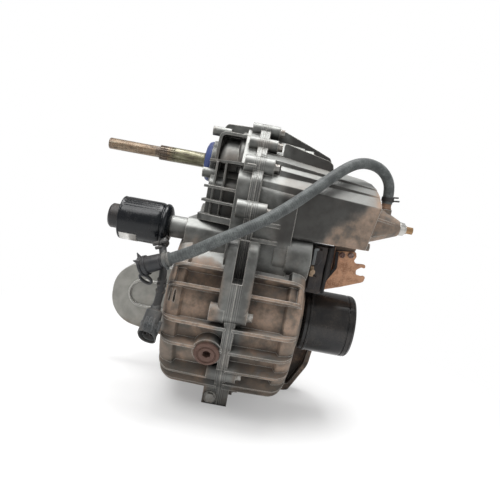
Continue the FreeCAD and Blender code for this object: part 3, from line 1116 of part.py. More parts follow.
def tangent_route(points, share=0.45):
    """A wire of straight runs through the points joined by tangent arcs."""
    edges = []
    last = points[0]
    for before, corner, after in zip(points, points[1:], points[2:]):
        back, ahead = before - corner, after - corner
        turn = math.pi - back.getAngle(ahead)
        reach = share * min(back.Length, ahead.Length)
        radius = reach / math.tan(turn / 2)
        start = corner + back.normalize() * reach
        stop = corner + ahead.normalize() * reach
        inward = (start + stop) * 0.5 - corner
        depth = radius / math.cos(turn / 2) - radius
        middle = corner + inward.normalize() * depth
        print("bend radius", round(radius, 1), "turn", round(math.degrees(turn), 1))
        edges.append(Part.LineSegment(last, start).toShape())
        edges.append(Part.Arc(start, middle, stop).toShape())
        last = stop
    edges.append(Part.LineSegment(last, points[-1]).toShape())
    return Part.Wire(edges)


def cord(points, outer, inner=0.0):
    """A tube swept along the route, bored when inner is given."""
    spine = tangent_route([Vector(*p) for p in points])
    start = Vector(*points[0])
    way = Vector(*points[1]) - start
    tubes = []
    for r in (outer, inner):
        if r > 0:
            tubes.append(spine.makePipeShell([Part.Wire(Part.makeCircle(r, start, way))], True, False))
    tube = tubes[0].cut(tubes[1]) if inner else tubes[0]
    ideal = math.pi * (outer ** 2 - inner ** 2) * spine.Length
    print("cord length", round(spine.Length, 1), "volume ratio", round(tube.Volume / ideal, 4))
    return tube


def vent():
    """Nipple on the cone, hose over the case, clamps, end fitting and clip."""
    top = DRUM_Z + 24
    nipple = joined([
        cyl_z(NIPPLE_X, DRUM_Y, top - 8, top + 1, 3.0), placed(hexagon(12, 5), Vector(NIPPLE_X, DRUM_Y, top + 0.02),
                                                           Vector(0, 0, 1)),
        cyl_z(NIPPLE_X, DRUM_Y, top + 1, top + 25, 3.9), cyl_z(NIPPLE_X, DRUM_Y, top + 19, top + 21, 4.1)])
    add("vent_nipple", nipple)
    add("vent_hose", cord(HOSE_POINTS, HOSE_R, HOSE_BORE_R))
    start, second = Vector(*HOSE_POINTS[0]), Vector(*HOSE_POINTS[1])
    end, before = Vector(*HOSE_POINTS[-1]), Vector(*HOSE_POINTS[-2])
    add("hose_clamp_upper", spring_clamp(start + (second - start).normalize() * 3, second - start))
    add("hose_clamp_lower", spring_clamp(end + (before - end).normalize() * 12, before - end))
    way = (end - before).normalize()
    fitting = [(0, 0), (0, HOSE_BORE_R - 0.15), (14, HOSE_BORE_R - 0.15), (14, 8), (17, 12), (40, 11), (40, 8.5),
               (47, 8.5), (47, 0)]
    wire = rounded_wire([Vector(r, 0, h) for h, r in fitting], [0, 0, 0, 2, 4, 2, 0, 2, 0])
    body = Part.Face(wire).revolve(Vector(0, 0, 0), Vector(0, 0, 1), 360)
    ears = [Part.makeCone(2.4, 0.8, 11, Vector(0, side * 7, 43), Vector(0, side, 0.5)) for side in (-1, 1)]
    add("vent_fitting", placed(joined([body] + ears), end - way * 13.5, way))
    ring = Part.makeCylinder(14.2, 6, Vector(0, 0, 26)).cut(Part.makeCylinder(11.9, 8, Vector(0, 0, 25)))
    add("hose_clip", placed(ring, end - way * 13.5, way))


def spring_clamp(at, way):
    """A spring band with two tangs round the hose."""
    band = Part.makeCylinder(HOSE_R + 1.3, 6, Vector(0, 0, 0)).cut(Part.makeCylinder(HOSE_R + 0.05, 8, Vector(0, 0, -1)))
    tangs = [Part.makeBox(2.4, 8, 3.2, Vector(-1.2, HOSE_R + 0.4, z)) for z in (0.0, 2.8)]
    return placed(joined([band] + tangs), at, way)


def lead():
    """The solenoid lead and the two-way connector hanging on it."""
    add("solenoid_lead", cord(LEAD_POINTS, LEAD_R))
    end, before = Vector(*LEAD_POINTS[-1]), Vector(*LEAD_POINTS[-2])
    way = (end - before).normalize()
    body = slab_at([(-8.5, -12), (8.5, -12), (8.5, 12), (-8.5, 12)], [7, 7, 7, 7], 0.0, 36.0)
    neck = Part.makeCone(LEAD_R + 1.4, 7.8, 9, Vector(0, 0, -8.5))
    mouth = slab_at([(-6.5, -10), (6.5, -10), (6.5, 10), (-6.5, 10)], [5, 5, 5, 5], 20.0, 38.0)
    core = slab_at([(-4.4, -8), (4.4, -8), (4.4, 8), (-4.4, 8)], [2, 2, 2, 2], 18.0, 31.0)
    latch = Part.makeBox(6, 9, 2.5, Vector(7.5, -4.5, 8)).fuse(Part.makeBox(2.4, 9, 17, Vector(11.1, -4.5, 8)))
    entry = Part.makeCylinder(LEAD_R + SEAT_GAP, 10, Vector(0, 0, -10))
    shell = joined([carved(joined([body, neck, latch]), [mouth, entry]), core])
    sockets = [Part.makeCylinder(2.1, 12, Vector(0, y, 25)) for y in (-4.0, 4.0)]
    add("lead_connector", placed(carved(shell, sockets), end, way))


def slab_at(outline, radii, z0, z1):
    """A rounded plate standing on the origin along Z."""
    wire = rounded_wire([Vector(a, b, z0) for a, b in outline], radii)
    return Part.Face(wire).extrude(Vector(0, 0, z1 - z0))


# Things bolted on the outside

def outside_pieces():
    """Plugs, range switch, cable bracket and the two mounts."""
    py, pz = polar(0, 0, 1.0, 180 + FILL_ANGLE)
    way = Vector(0, py, pz)
    plug = turned_z([(0, 0), (0, FILL_THREAD_R), (FILL_BOSS_END - 98, FILL_THREAD_R), (FILL_BOSS_END - 98, FILL_FLANGE_R),
                     (FILL_BOSS_END - 92, FILL_FLANGE_R), (FILL_BOSS_END - 92, 0)], [0, 1, 0, 0, 2, 0])
    socket = hexagon(10, 14)
    socket.translate(Vector(0, 0, FILL_BOSS_END - 100))
    plug = plug.cut(socket)
    add("fill_plug", placed(plug, way * (98.02) + Vector(FILL_X, 0, 0), way))
    drain = joined([cyl_y(DRAIN_X, FOOT_Y0 - 1, FOOT_Y0 + 14, DRAIN_Z, 6.0),
                    placed(hexagon(13, 6), Vector(DRAIN_X, FOOT_Y0 - 1, DRAIN_Z), Vector(0, -1, 0)),
                    cyl_y(DRAIN_X, FOOT_Y0 - 2, FOOT_Y0 - SEAT_GAP, DRAIN_Z, 9)])
    add("drain_plug", drain)

    switch = turned([
        (CAP_X0 - 8, 0), (CAP_X0 - 8, 14), (CAP_X0 + 0.02, 14), (CAP_X0 + 0.02, 22), (CAP_X0 + 17, 22),
        (CAP_X0 + 17, 16), (CAP_X0 + 29, 15), (CAP_X0 + 29, 0)], CAP_Y, CAP_Z, [0, 0, 0, 3, 4, 2, 2, 0])
    add("range_switch_cap", switch)
    body = [(CAP_X0 + 29.05, -16), (CAP_X0 + 29.05, 24), (CAP_X0 + 44, 24), (CAP_X0 + 48, 10), (CAP_X0 + 44, -16)]
    head = slab_y([(x, CAP_Z + z) for x, z in body], [4, 4, 5, 8, 5], CAP_Y - 12, CAP_Y + 12)
    nub = turned([(CAP_X0 + 30, 0), (CAP_X0 + 30, 5), (CAP_X0 + 36, 5), (CAP_X0 + 36, 0)], CAP_Y - 10, CAP_Z - 12)
    add("range_switch", joined([head, nub]))

    plate = [(131, 111), (162, 115), (164, 108), (161, 101), (166, 98), (179, 99), (180, 93), (174, 94), (167, 89),
             (168, 82), (176, 81), (183, 83), (181, 73), (150, 60), (122, 50), (122, 66), (134, 88)]
    bracket = slab_y(plate, [3, 3, 3, 3, 3, 2.5, 2, 2, 3.5, 3.5, 2, 2.5, 5, 10, 3, 6, 10], BRACKET_Y, BRACKET_Y + 4)
    bend = [(131.5, BRACKET_Y + 0.5), (119.5, BRACKET_Y - 34.0), (116.5, BRACKET_Y - 33.0), (128.0, BRACKET_Y + 3.0)]
    flange = slab_z(bend, [0, 1, 1, 0], 51.0, 117.0)
    reach = [(100.0, 117.0), (132.0, 117.0), (134.0, 88.0), (123.0, 66.0), (123.0, 51.0), (100.0, 51.0)]
    flange = flange.common(slab_y(reach, [0, 0, 10, 6, 0, 0], BRACKET_Y - 40, BRACKET_Y + 6))
    bracket = bracket.fuse(flange)
    rim = [(131, 111), (134, 88), (122, 66), (122, 50), (126, 50), (126, 65), (138, 87), (136, 111)]
    bracket = bracket.fuse(slab_y(rim, [0, 10, 6, 0, 0, 6, 10, 0], BRACKET_Y - 6, BRACKET_Y + 0.5))
    bracket = bracket.removeSplitter()
    holes = [cyl_y(x, BRACKET_Y - 8, BRACKET_Y + 8, z, BRACKET_BOLT_R + LOOSE_GAP) for x, z in BRACKET_BOLTS]
    add("cable_bracket", bracket.cut(holes))

    end = BARREL_HALF_LENGTH + 1.5 + SEAT_GAP
    plate = [(36.0, -78.0), (36.0, 50.0), (58.0, 52.0), (101.0, 34.0), (106.0, -20.0), (96.0, -78.0)]
    cuts = [cyl(-120, 120, y, z, MOUNT_BOLT_R + LOOSE_GAP) for y, z in MOUNT_BOLTS]
    cuts.append(cyl(-120, 120, 0, 0, HUB_R + 7.0))
    left = slab_x(plate, [4, 8, 8, 10, 12, 4], -end - MOUNT_PLATE, -end)
    lobe = slab_y([(-203, -71), (-203, 27), (-end - 1, 27), (-end - 1, -90)], [48.9, 48.9, 0, 14],
                  MOUNT_Y0 + 1.0, MOUNT_Y1)
    outer = slab_y([(-176, -45), (-176, 1), (-end - 18, 1), (-end - 18, -45)], [22.9, 22.9, 0, 0], MOUNT_Y0 - 2.5, MOUNT_Y0 + 2)
    inner = slab_y([(-173, -42), (-173, -2), (-end - 17, -2), (-end - 17, -42)], [19.9, 19.9, 0, 0], MOUNT_Y0 - 9, MOUNT_Y0 + 1.0)
    web = slab_y([(-150, -60), (-end - 1, -101), (-end - 1, -60)], [0, 0, 0], MOUNT_Y0 + 4, MOUNT_Y1 - 2)
    add("left_mount_arm", carved(joined([left, lobe, outer, web]), [inner] + cuts))
    right = slab_x(plate, [4, 8, 8, 10, 12, 4], end, end + MOUNT_PLATE)
    ear = [(end + 1, -30), (130, -30), (141, -52), (137, -92), (112, -AXLE_HEIGHT + 2), (104, -AXLE_HEIGHT),
           (end + 1, -AXLE_HEIGHT)]
    leg = slab_y(ear, [0, 10, 12, 40, 6, 3, 0], MOUNT_Y0, MOUNT_Y1)
    pocket = slab_y([(end + 9, -40), (124, -40), (133, -56), (130, -90), (110, -130), (end + 9, -130)],
                    [4, 8, 8, 34, 6, 4], MOUNT_Y0 - 8, MOUNT_Y1 - 6)
    add("right_mount_foot", carved(joined([right, leg]), [pocket] + cuts))


def turned_z(profile, radii):
    """A body of revolution about Z from (height, radius) corners."""
    wire = rounded_wire([Vector(r, 0, h) for h, r in profile], radii)
    return Part.Face(wire).revolve(Vector(0, 0, 0), Vector(0, 0, 1), 360)


def main():
    os.makedirs("parts", exist_ok=True)
    add("left_case", left_case())
    add("right_case", right_case())
    fasteners()
    bearings_and_seals()
    input_shaft()
    counter_shaft()
    free_gear("high_gear", HIGH_GEAR_TEETH, HIGH_X, HIGH_END_X, 1)
    free_gear("low_gear", LOW_GEAR_TEETH, LOW_X, LOW_END_X, -1)
    dog_collar()
    shift_mechanism()
    differential()
    lock()
    vent()
    lead()
    outside_pieces()
    for node, shape in PARTS.items():
        shape.translate(Vector(0, 0, AXLE_HEIGHT))
        shape.exportStep(f"parts/{node}.step")
        box_ = shape.BoundBox
        print(node, len(shape.Solids), shape.isValid(), round(shape.Volume), round(box_.XMin), round(box_.XMax),
              round(box_.YMin), round(box_.YMax), round(box_.ZMin), round(box_.ZMax))
    print("nodes", len(PARTS))


main()
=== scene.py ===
"""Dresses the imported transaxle: finishes for each cast, turned and moulded piece, the hose, the lead and the studio."""
import logging
import math
from dataclasses import dataclass
from enum import Enum
from typing import Callable, Protocol, Sequence

import bmesh
import bpy
from mathutils import Matrix, Vector


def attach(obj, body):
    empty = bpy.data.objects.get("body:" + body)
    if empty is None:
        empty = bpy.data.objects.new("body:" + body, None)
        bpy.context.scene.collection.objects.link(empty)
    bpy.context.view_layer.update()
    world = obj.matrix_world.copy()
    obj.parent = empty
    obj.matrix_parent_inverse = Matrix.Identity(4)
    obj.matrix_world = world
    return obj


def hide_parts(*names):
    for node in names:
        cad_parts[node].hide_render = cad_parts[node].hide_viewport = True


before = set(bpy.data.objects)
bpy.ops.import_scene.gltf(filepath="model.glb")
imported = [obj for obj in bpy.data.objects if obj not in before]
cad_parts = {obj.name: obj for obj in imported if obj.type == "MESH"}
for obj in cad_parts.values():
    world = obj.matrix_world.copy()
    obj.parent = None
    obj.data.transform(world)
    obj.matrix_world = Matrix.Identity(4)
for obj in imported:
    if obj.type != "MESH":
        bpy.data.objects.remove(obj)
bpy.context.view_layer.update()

log = logging.getLogger("transaxle")
MM = 0.001
MM_IN_METRE = 1000.0
# Routes and pieces are written in millimetres from the axle axis, which lies this high above the floor.
AXLE_HEIGHT = 142.0
RIGHT, BACK, UP = Vector((1.0, 0.0, 0.0)), Vector((0.0, 1.0, 0.0)), Vector((0.0, 0.0, 1.0))

Point = tuple[float, float, float]
Profile = Sequence[tuple[float, ...]]
Outline = Sequence[tuple[float, float]]
Socket = bpy.types.NodeSocket
Material = bpy.types.Material
Pieces = list[bpy.types.Object]


def linear(code: str) -> tuple[float, float, float, float]:
    """Turns an sRGB hex colour into linear RGBA.

    Args:
        code: Six hex digits with a leading #.

    Returns:
        The colour as four linear numbers, opaque.
    """
    parts = [int(code[i:i + 2], 16) / 255 for i in (1, 3, 5)]
    flat = [p / 12.92 if p <= 0.04045 else ((p + 0.055) / 1.055) ** 2.4 for p in parts]
    return (flat[0], flat[1], flat[2], 1.0)


def place(x: float, y: float, z: float) -> Vector:
    """Turns millimetres from the axle axis into a point of the frame in metres."""
    return Vector((x * MM, y * MM, (z + AXLE_HEIGHT) * MM))


def put(name: str, data: bpy.types.ID) -> bpy.types.Object:
    """Puts a mesh, curve, lamp or camera into the scene.

    Args:
        name: Name of the new object.
        data: What it shows.

    Returns:
        The new object.
    """
    piece = bpy.data.objects.new(name, data)
    bpy.context.scene.collection.objects.link(piece)
    return piece


class Node(Enum):
    """The nodes in use: Blender's type, inputs in the order of a call, the output given back, any settings."""

    OBJECT = ("TexCoord", (), "Object")
    UV = ("TexCoord", (), "UV")
    NORMAL = ("NewGeometry", (), "Normal")
    CAMERA_RAY = ("LightPath", (), "Is Camera Ray")
    GLOSSY_RAY = ("LightPath", (), "Is Glossy Ray")
    X = ("SeparateXYZ", (0,), "X")
    Y = ("SeparateXYZ", (0,), "Y")
    Z = ("SeparateXYZ", (0,), "Z")
    STRETCH = ("Mapping", ("Vector", "Scale"), 0)
    SCALE = ("VectorMath", ("Vector", "Scale"), 0, {"operation": "SCALE"})
    DOT = ("VectorMath", (0, 1), "Value", {"operation": "DOT_PRODUCT"})
    LENGTH = ("VectorMath", (0,), "Value", {"operation": "LENGTH"})
    ADD = ("Math", (0, 1), 0, {"operation": "ADD"})
    MINUS = ("Math", (0, 1), 0, {"operation": "SUBTRACT"})
    TIMES_PLUS = ("Math", (0, 1, 2), 0, {"operation": "MULTIPLY_ADD"})
    TIMES = ("Math", (0, 1), 0, {"operation": "MULTIPLY"})
    MAX = ("Math", (0, 1), 0, {"operation": "MAXIMUM"})
    ABS = ("Math", (0,), 0, {"operation": "ABSOLUTE"})
    SINE = ("Math", (0,), 0, {"operation": "SINE"})
    RAMP = ("MapRange", (0, 1, 2), 0, {"interpolation_type": "SMOOTHSTEP"})
    MIX = ("Mix", (0, 6, 7), 2, {"data_type": "RGBA"})
    NOISE = ("TexNoise", ("Vector", "Scale", "Detail", "Roughness"), "Fac")
    BEVEL = ("Bevel", ("Radius",), 0)
    HOLLOW = ("AmbientOcclusion", ("Distance",), "AO", {"samples": 8})
    BUMP = ("Bump", ("Strength", "Distance", "Height", "Normal"), 0)
    SURFACE = ("BsdfPrincipled",
               ("Base Color", "Roughness", "Metallic", "Normal", "Specular IOR Level", "Sheen Weight"), 0)
    CARD = ("BsdfDiffuse", ("Color",), 0)
    GLOW = ("Emission", ("Color", "Strength"), 0)
    ROOM = ("Background", ("Color", "Strength"), 0)
    SHARE = ("MixShader", (0, 1, 2), 0)
    OUTPUT = ("OutputMaterial", ("Surface",), None)
    WORLD_OUTPUT = ("OutputWorld", ("Surface",), None)


class Tree:
    """The nodes of a material or the world, added one by one with their settings and links."""

    def __init__(self, owner: bpy.types.Material | bpy.types.World) -> None:
        """Clears the owner's nodes.

        Args:
            owner: The material or world.
        """
        owner.use_nodes = True
        self.owner = owner
        self.nodes, self.links = owner.node_tree.nodes, owner.node_tree.links
        self.nodes.clear()

    def add(self, kind: Node, *values: object, **settings: object) -> Socket | None:
        """Adds a node with its settings and links.

        Args:
            kind: Which node.
            values: For each input in the kind's order a socket, a number, a vector or a hex colour.
            settings: More attributes of the node.

        Returns:
            The kind's output, or None where it has none.
        """
        name, inputs, output, *fixed = kind.value
        node = self.nodes.new("ShaderNode" + name)
        for key, setting in dict(*fixed, **settings).items():
            setattr(node, key, setting)
        for key, value in zip(inputs, values):
            if isinstance(value, Socket):
                self.links.new(value, node.inputs[key])
            elif value is not None:
                node.inputs[key].default_value = linear(value) if isinstance(value, str) else value
        return None if output is None else node.outputs[output]

    def close(self, colour: Socket, rough: Socket | float, metal: Socket | float, height: Socket, strength: float,
              depth_mm: float, normal: Socket | None = None, gloss: float = 0.5, sheen: float = 0.0) -> Material:
        """Ends a finish with its relief, its surface and the output.

        Args:
            colour: Base colour.
            rough: Roughness.
            metal: How metallic it is.
            height: Relief, from 0 to 1.
            strength: How much the relief counts.
            depth_mm: Depth of the relief.
            normal: The normal that the relief lies on.
            gloss: Specular level.
            sheen: Weight of the fibres' sheen.

        Returns:
            The finished material.
        """
        bump = self.add(Node.BUMP, strength, depth_mm * MM, height, normal)
        self.add(Node.OUTPUT, self.add(Node.SURFACE, colour, rough, metal, bump, gloss, sheen))
        return self.owner


def begin(name: str) -> tuple[Tree, Callable[..., Socket], Socket]:
    """Starts a material.

    Args:
        name: Name of the new material.

    Returns:
        Its nodes, their add method and the place on the object in millimetres.
    """
    t = Tree(bpy.data.materials.new(name))
    return t, t.add, t.add(Node.SCALE, t.add(Node.OBJECT), MM_IN_METRE)


class Finish(Protocol):
    """A finish builds its material."""

    def build(self) -> Material:
        """Builds the material."""


@dataclass(frozen=True)
class CastAluminium:
    """Die-cast aluminium of a used housing: dull grey skin, worn pale edges, tan road dust; painted light on top,
    painted shade mixed with grease in hollows.

    Every height is measured from the floor and every other distance from the axle's middle.
    """

    name: str = "cast_aluminium_housing"
    metal: str = "#6f706d"
    shade: str = "#50504e"
    painted_top_light: str = "#a3a4a1"
    hollow_shade_and_grease: str = "#262423"
    front_shade: str = "#343230"
    sump_dirt: str = "#5a5751"
    dust: str = "#75614f"
    pale_dust: str = "#96806f"
    edge: str = "#b4b1ab"
    seam_dark: str = "#2f2e2c"
    seam_pale: str = "#83827f"
    broad_mm: float = 60.0
    patch_mm: float = 20.0
    grain_mm: float = 1.1
    edge_radius_mm: float = 1.8
    hollow_mm: float = 22.0
    ragged_mm: float = 90.0
    dust_top_mm: float = 212.0
    seam_clear_mm: tuple[float, float] = (12.0, 26.0)
    warm_from_mm: float = 94.0
    warm_to_mm: float = 118.0
    warm_top_mm: float = 400.0
    lean_from_mm: float = 268.0
    lean: float = 0.65
    roof_mm: tuple[float, float] = (300.0, 310.0)
    cone_mm: tuple[float, float] = (168.0, 158.0)
    front_shade_from_mm: float = 30.0
    front_shade_above_mm: tuple[float, float] = (252.0, 262.0)
    sump_mm: tuple[float, float] = (155.0, 105.0)
    hollow_shade_and_grease_share: float = 0.72
    seam_pitch_mm: float = 2.6
    seam_half_mm: float = 8.0

    def build(self) -> Material:
        """Builds the material.

        Returns:
            The finished material.
        """
        t, add, here = begin(self.name)
        x, z = add(Node.X, here), add(Node.Z, here)
        normal = add(Node.NORMAL)
        facing_z = add(Node.Z, normal)
        broad = add(Node.NOISE, here, 1.0 / self.broad_mm, 4.0, 0.55)
        patches = add(Node.NOISE, here, 1.0 / self.patch_mm, 6.0, 0.6)
        fine = add(Node.NOISE, here, 1.0 / (self.grain_mm * 3.0), 4.0, 0.65)
        grain = add(Node.NOISE, here, 1.0 / self.grain_mm, 2.0, 0.6)
        # The rounded normal tells sharp edges, where handling and washing have bared the metal.
        rounded = add(Node.BEVEL, self.edge_radius_mm * MM, samples=6)
        sharp = add(Node.RAMP, add(Node.DOT, rounded, normal), 0.995, 0.88)
        bared = add(Node.TIMES, sharp, add(Node.RAMP, fine, 0.25, 0.5))
        caked, dusty = self.road_dust(t, x, z, facing_z, (broad, patches, fine))
        base = add(Node.MIX, add(Node.RAMP, patches, 0.3, 0.7), self.shade, self.metal)
        # Surfaces that face up are mixed towards pale grey: painted top light.
        base = add(Node.MIX, add(Node.TIMES, add(Node.RAMP, facing_z, 0.25, 0.95), 0.62), base, self.painted_top_light)
        dust = add(Node.MIX, add(Node.RAMP, patches, 0.35, 0.65), self.dust, self.pale_dust)
        coat = add(Node.MIX, dusty, base, dust)
        # Painted shade darkens the upright faces of the long block that face forward beside the hose, less where dust
        # cakes.
        front = add(Node.TIMES, add(Node.RAMP, add(Node.Y, normal), -0.6, -0.9),
                    add(Node.RAMP, x, self.front_shade_from_mm, self.front_shade_from_mm + 15.0))
        front_shade_share = add(Node.TIMES, front, add(Node.RAMP, z, *self.front_shade_above_mm))
        front_shade_share = add(Node.TIMES, front_shade_share, add(Node.MINUS, 0.75, add(Node.TIMES, caked, 0.6)))
        coat = add(Node.MIX, front_shade_share, coat, self.front_shade)
        # Wet sump dirt greys the lower ribs in broad patches.
        sump = add(Node.TIMES, add(Node.RAMP, z, *self.sump_mm), add(Node.RAMP, broad, 0.42, 0.56))
        coat = add(Node.MIX, add(Node.TIMES, sump, add(Node.TIMES, caked, 0.6)), coat, self.sump_dirt)
        # Ambient occlusion darkens hollows and corners: painted shade, mixed with grease.
        shaded = add(Node.RAMP, add(Node.HOLLOW, self.hollow_mm * MM), 0.8, 0.2)
        coat = add(Node.MIX, add(Node.TIMES, shaded, self.hollow_shade_and_grease_share), coat, self.hollow_shade_and_grease)
        # The seam shows the parting lines of the two halves as fine pale and dark stripes.
        near = add(Node.RAMP, add(Node.ABS, x), self.seam_half_mm + 0.4, self.seam_half_mm)
        rim = add(Node.RAMP, add(Node.ABS, add(Node.X, normal)), 0.5, 0.2)
        seam = add(Node.TIMES, add(Node.TIMES, near, rim), add(Node.RAMP, fine, 0.2, 0.6))
        stripe = add(Node.SINE, add(Node.TIMES, x, 2 * math.pi / self.seam_pitch_mm))
        striped = add(Node.MIX, add(Node.RAMP, stripe, -0.6, 0.6), self.seam_dark, self.seam_pale)
        coat = add(Node.MIX, add(Node.TIMES, seam, 0.42), coat, striped)
        colour = add(Node.MIX, add(Node.TIMES, bared, 0.8), coat, self.edge)
        rough = add(Node.TIMES_PLUS, dusty, 0.35, add(Node.TIMES_PLUS, patches, 0.2, 0.38), use_clamp=True)
        metal = add(Node.MINUS, 0.65, add(Node.TIMES, dusty, 0.65), use_clamp=True)
        height = add(Node.ADD, add(Node.TIMES, grain, 0.5), add(Node.TIMES, fine, 0.8))
        height = add(Node.ADD, height, add(Node.TIMES, add(Node.TIMES, stripe, seam), 0.5))
        return t.close(colour, rough, metal, height, 0.4, 0.6, rounded)

    def road_dust(self, t: Tree, x: Socket, z: Socket, facing_z: Socket,
                  clouds: tuple[Socket, Socket, Socket]) -> tuple[Socket, Socket]:
        """Spreads the dust: caked on the barrel below the lug and on the block's far end, thin elsewhere.

        Args:
            t: The material's nodes.
            x: Distance along the axle in millimetres.
            z: Height in millimetres.
            facing_z: How far the surface faces up.
            clouds: The broad, middle and fine noise.

        Returns:
            Where dust cakes, and the share of dust in the colour.
        """
        add = t.add
        broad, patches, fine = clouds
        ragged = add(Node.TIMES, add(Node.MINUS, broad, 0.5), self.ragged_mm)
        level = add(Node.ADD, z, ragged)
        low = add(Node.RAMP, level, self.dust_top_mm + 8.0, self.dust_top_mm - 12.0)
        low = add(Node.TIMES, low, add(Node.RAMP, add(Node.ABS, x), *self.seam_clear_mm))
        above = add(Node.MAX, add(Node.MINUS, z, self.lean_from_mm), 0.0)
        leaning = add(Node.MINUS, add(Node.ADD, x, ragged), add(Node.TIMES, above, self.lean))
        far = add(Node.RAMP, leaning, self.warm_from_mm, self.warm_to_mm)
        far = add(Node.TIMES, far, add(Node.RAMP, level, self.warm_top_mm + 6.0, self.warm_top_mm - 6.0))
        # On the long block's up-facing roof, up to the cone, most of the dust is taken away so that the painted top
        # light shows there.
        roof = add(Node.TIMES, add(Node.RAMP, facing_z, 0.3, 0.6), add(Node.RAMP, z, *self.roof_mm))
        roof = add(Node.TIMES, roof, add(Node.RAMP, x, *self.cone_mm))
        far = add(Node.TIMES, far, add(Node.MINUS, 1.0, add(Node.TIMES, roof, 0.8)))
        caked = add(Node.MAX, low, far)
        thin = add(Node.TIMES, add(Node.RAMP, broad, 0.52, 0.72), 0.25)
        share = add(Node.MAX, add(Node.TIMES, caked, add(Node.RAMP, patches, 0.22, 0.58)), thin)
        mottle = add(Node.ADD, add(Node.TIMES, add(Node.RAMP, fine, 0.2, 0.75), 0.45), 0.6)
        return caked, add(Node.TIMES, share, mottle, use_clamp=True)


@dataclass(frozen=True)
class BareSteel:
    """Turned or rolled steel: fine tool marks round the X axis, stains, and a browned tip where the shaft has one."""

    name: str
    metal: str = "#8d8a86"
    marked: str = "#b4b1ab"
    stain: str = "#5d4a3b"
    tip: str = "#8f7355"
    stained: float = 0.3
    roughness: float = 0.34
    metallic: float = 0.9
    mark_mm: float = 1.2
    blot_mm: float = 9.0
    speck_mm: float = 1.6
    edge_radius_mm: float = 0.5
    tip_from_mm: float = 1000.0

    def build(self) -> Material:
        """Builds the material.

        Returns:
            The finished material.
        """
        t, add, here = begin(self.name)
        marks = add(Node.NOISE, add(Node.STRETCH, here, (1.0, 0.05, 0.05)), 1.0 / self.mark_mm, 3.0, 0.7)
        blots = add(Node.NOISE, here, 1.0 / self.blot_mm, 6.0, 0.65)
        specks = add(Node.NOISE, here, 1.0 / self.speck_mm, 4.0, 0.7)
        share = add(Node.TIMES, add(Node.RAMP, blots, 0.42, 0.66), add(Node.RAMP, specks, 0.3, 0.6))
        share = add(Node.TIMES, share, self.stained * 2.0, use_clamp=True)
        base = add(Node.MIX, add(Node.RAMP, marks, 0.35, 0.65), self.metal, self.marked)
        base = add(Node.MIX, 0.55, base, self.metal)
        at_tip = add(Node.RAMP, add(Node.X, here), self.tip_from_mm, self.tip_from_mm + 1.5)
        base = add(Node.MIX, at_tip, base, self.tip)
        colour = add(Node.MIX, share, base, self.stain)
        rough = add(Node.TIMES_PLUS, marks, 0.12, self.roughness - 0.06)
        rough = add(Node.TIMES_PLUS, share, 0.4, rough, use_clamp=True)
        metal = add(Node.MINUS, self.metallic, add(Node.TIMES, share, 0.7), use_clamp=True)
        return t.close(colour, rough, metal, marks, 0.25, 0.2, add(Node.BEVEL, self.edge_radius_mm * MM, samples=4))


@dataclass(frozen=True)
class ZincShaft:
    """Turned steel shaft with old yellow zinc: greenish gold by the seal, browner to the tip, dark in the splines."""

    name: str = "yellow_zinc_shaft_steel"
    gold: str = "#67644c"
    brown: str = "#76634f"
    tip: str = "#5c4838"
    groove: str = "#4f423a"
    worn: str = "#a9a391"
    stain: str = "#40372d"
    mark_mm: float = 1.4
    blot_mm: float = 5.0
    edge_radius_mm: float = 0.6
    spline_from_mm: float = -160.0
    spline_to_mm: float = -142.0
    tip_mm: tuple[float, float] = (-222.0, -231.5)

    def build(self) -> Material:
        """Builds the material.

        Returns:
            The finished material.
        """
        t, add, here = begin(self.name)
        x = add(Node.X, here)
        marks = add(Node.NOISE, add(Node.STRETCH, here, (1.0, 0.04, 0.04)), 1.0 / self.mark_mm, 3.0, 0.7)
        blots = add(Node.NOISE, add(Node.STRETCH, here, (0.2, 1.0, 1.0)), 1.0 / self.blot_mm, 5.0, 0.65)
        base = add(Node.MIX, add(Node.RAMP, x, self.spline_to_mm, self.spline_to_mm + 12.0), self.brown, self.gold)
        base = add(Node.MIX, add(Node.RAMP, x, *self.tip_mm), base, self.tip)
        middle = (self.spline_from_mm + self.spline_to_mm) / 2
        half = (self.spline_to_mm - self.spline_from_mm) / 2
        splined = add(Node.RAMP, add(Node.ABS, add(Node.MINUS, x, middle)), half + 0.6, half)
        base = add(Node.MIX, add(Node.TIMES, splined, 0.75), base, self.groove)
        colour = add(Node.MIX, add(Node.RAMP, blots, 0.48, 0.66), base, self.stain)
        # Pale blots and tool marks in the worn colour: painted highlight, partly wear.
        colour = add(Node.MIX, add(Node.TIMES, add(Node.RAMP, blots, 0.46, 0.34), 0.5), colour, self.worn)
        colour = add(Node.MIX, add(Node.TIMES, add(Node.RAMP, marks, 0.5, 0.75), 0.25), colour, self.worn)
        rough = add(Node.ADD, add(Node.TIMES, add(Node.RAMP, blots, 0.4, 0.7), 0.3), 0.3, use_clamp=True)
        return t.close(colour, rough, 0.35, marks, 0.3, 0.2, add(Node.BEVEL, self.edge_radius_mm * MM, samples=4))


@dataclass(frozen=True)
class SolenoidCan:
    """Gloss black enamel on a drawn steel can, with thin clouds of dust that dull it."""

    name: str = "gloss_black_enamel_can"
    colour: str = "#0b0e12"
    dust: str = "#6a655f"
    cloud_mm: float = 14.0
    speck_mm: float = 1.5
    edge_radius_mm: float = 0.8

    def build(self) -> Material:
        """Builds the material.

        Returns:
            The finished material.
        """
        t, add, here = begin(self.name)
        clouds = add(Node.NOISE, here, 1.0 / self.cloud_mm, 5.0, 0.65)
        specks = add(Node.NOISE, here, 1.0 / self.speck_mm, 4.0, 0.7)
        share = add(Node.TIMES, add(Node.RAMP, clouds, 0.45, 0.8), add(Node.RAMP, specks, 0.4, 0.8))
        share = add(Node.TIMES, share, 0.22)
        rough = add(Node.TIMES_PLUS, share, 1.2, add(Node.TIMES_PLUS, clouds, 0.18, 0.14), use_clamp=True)
        return t.close(add(Node.MIX, share, self.colour, self.dust), rough, 0.0, specks, 0.12, 0.2,
                       add(Node.BEVEL, self.edge_radius_mm * MM, samples=4), gloss=0.3)


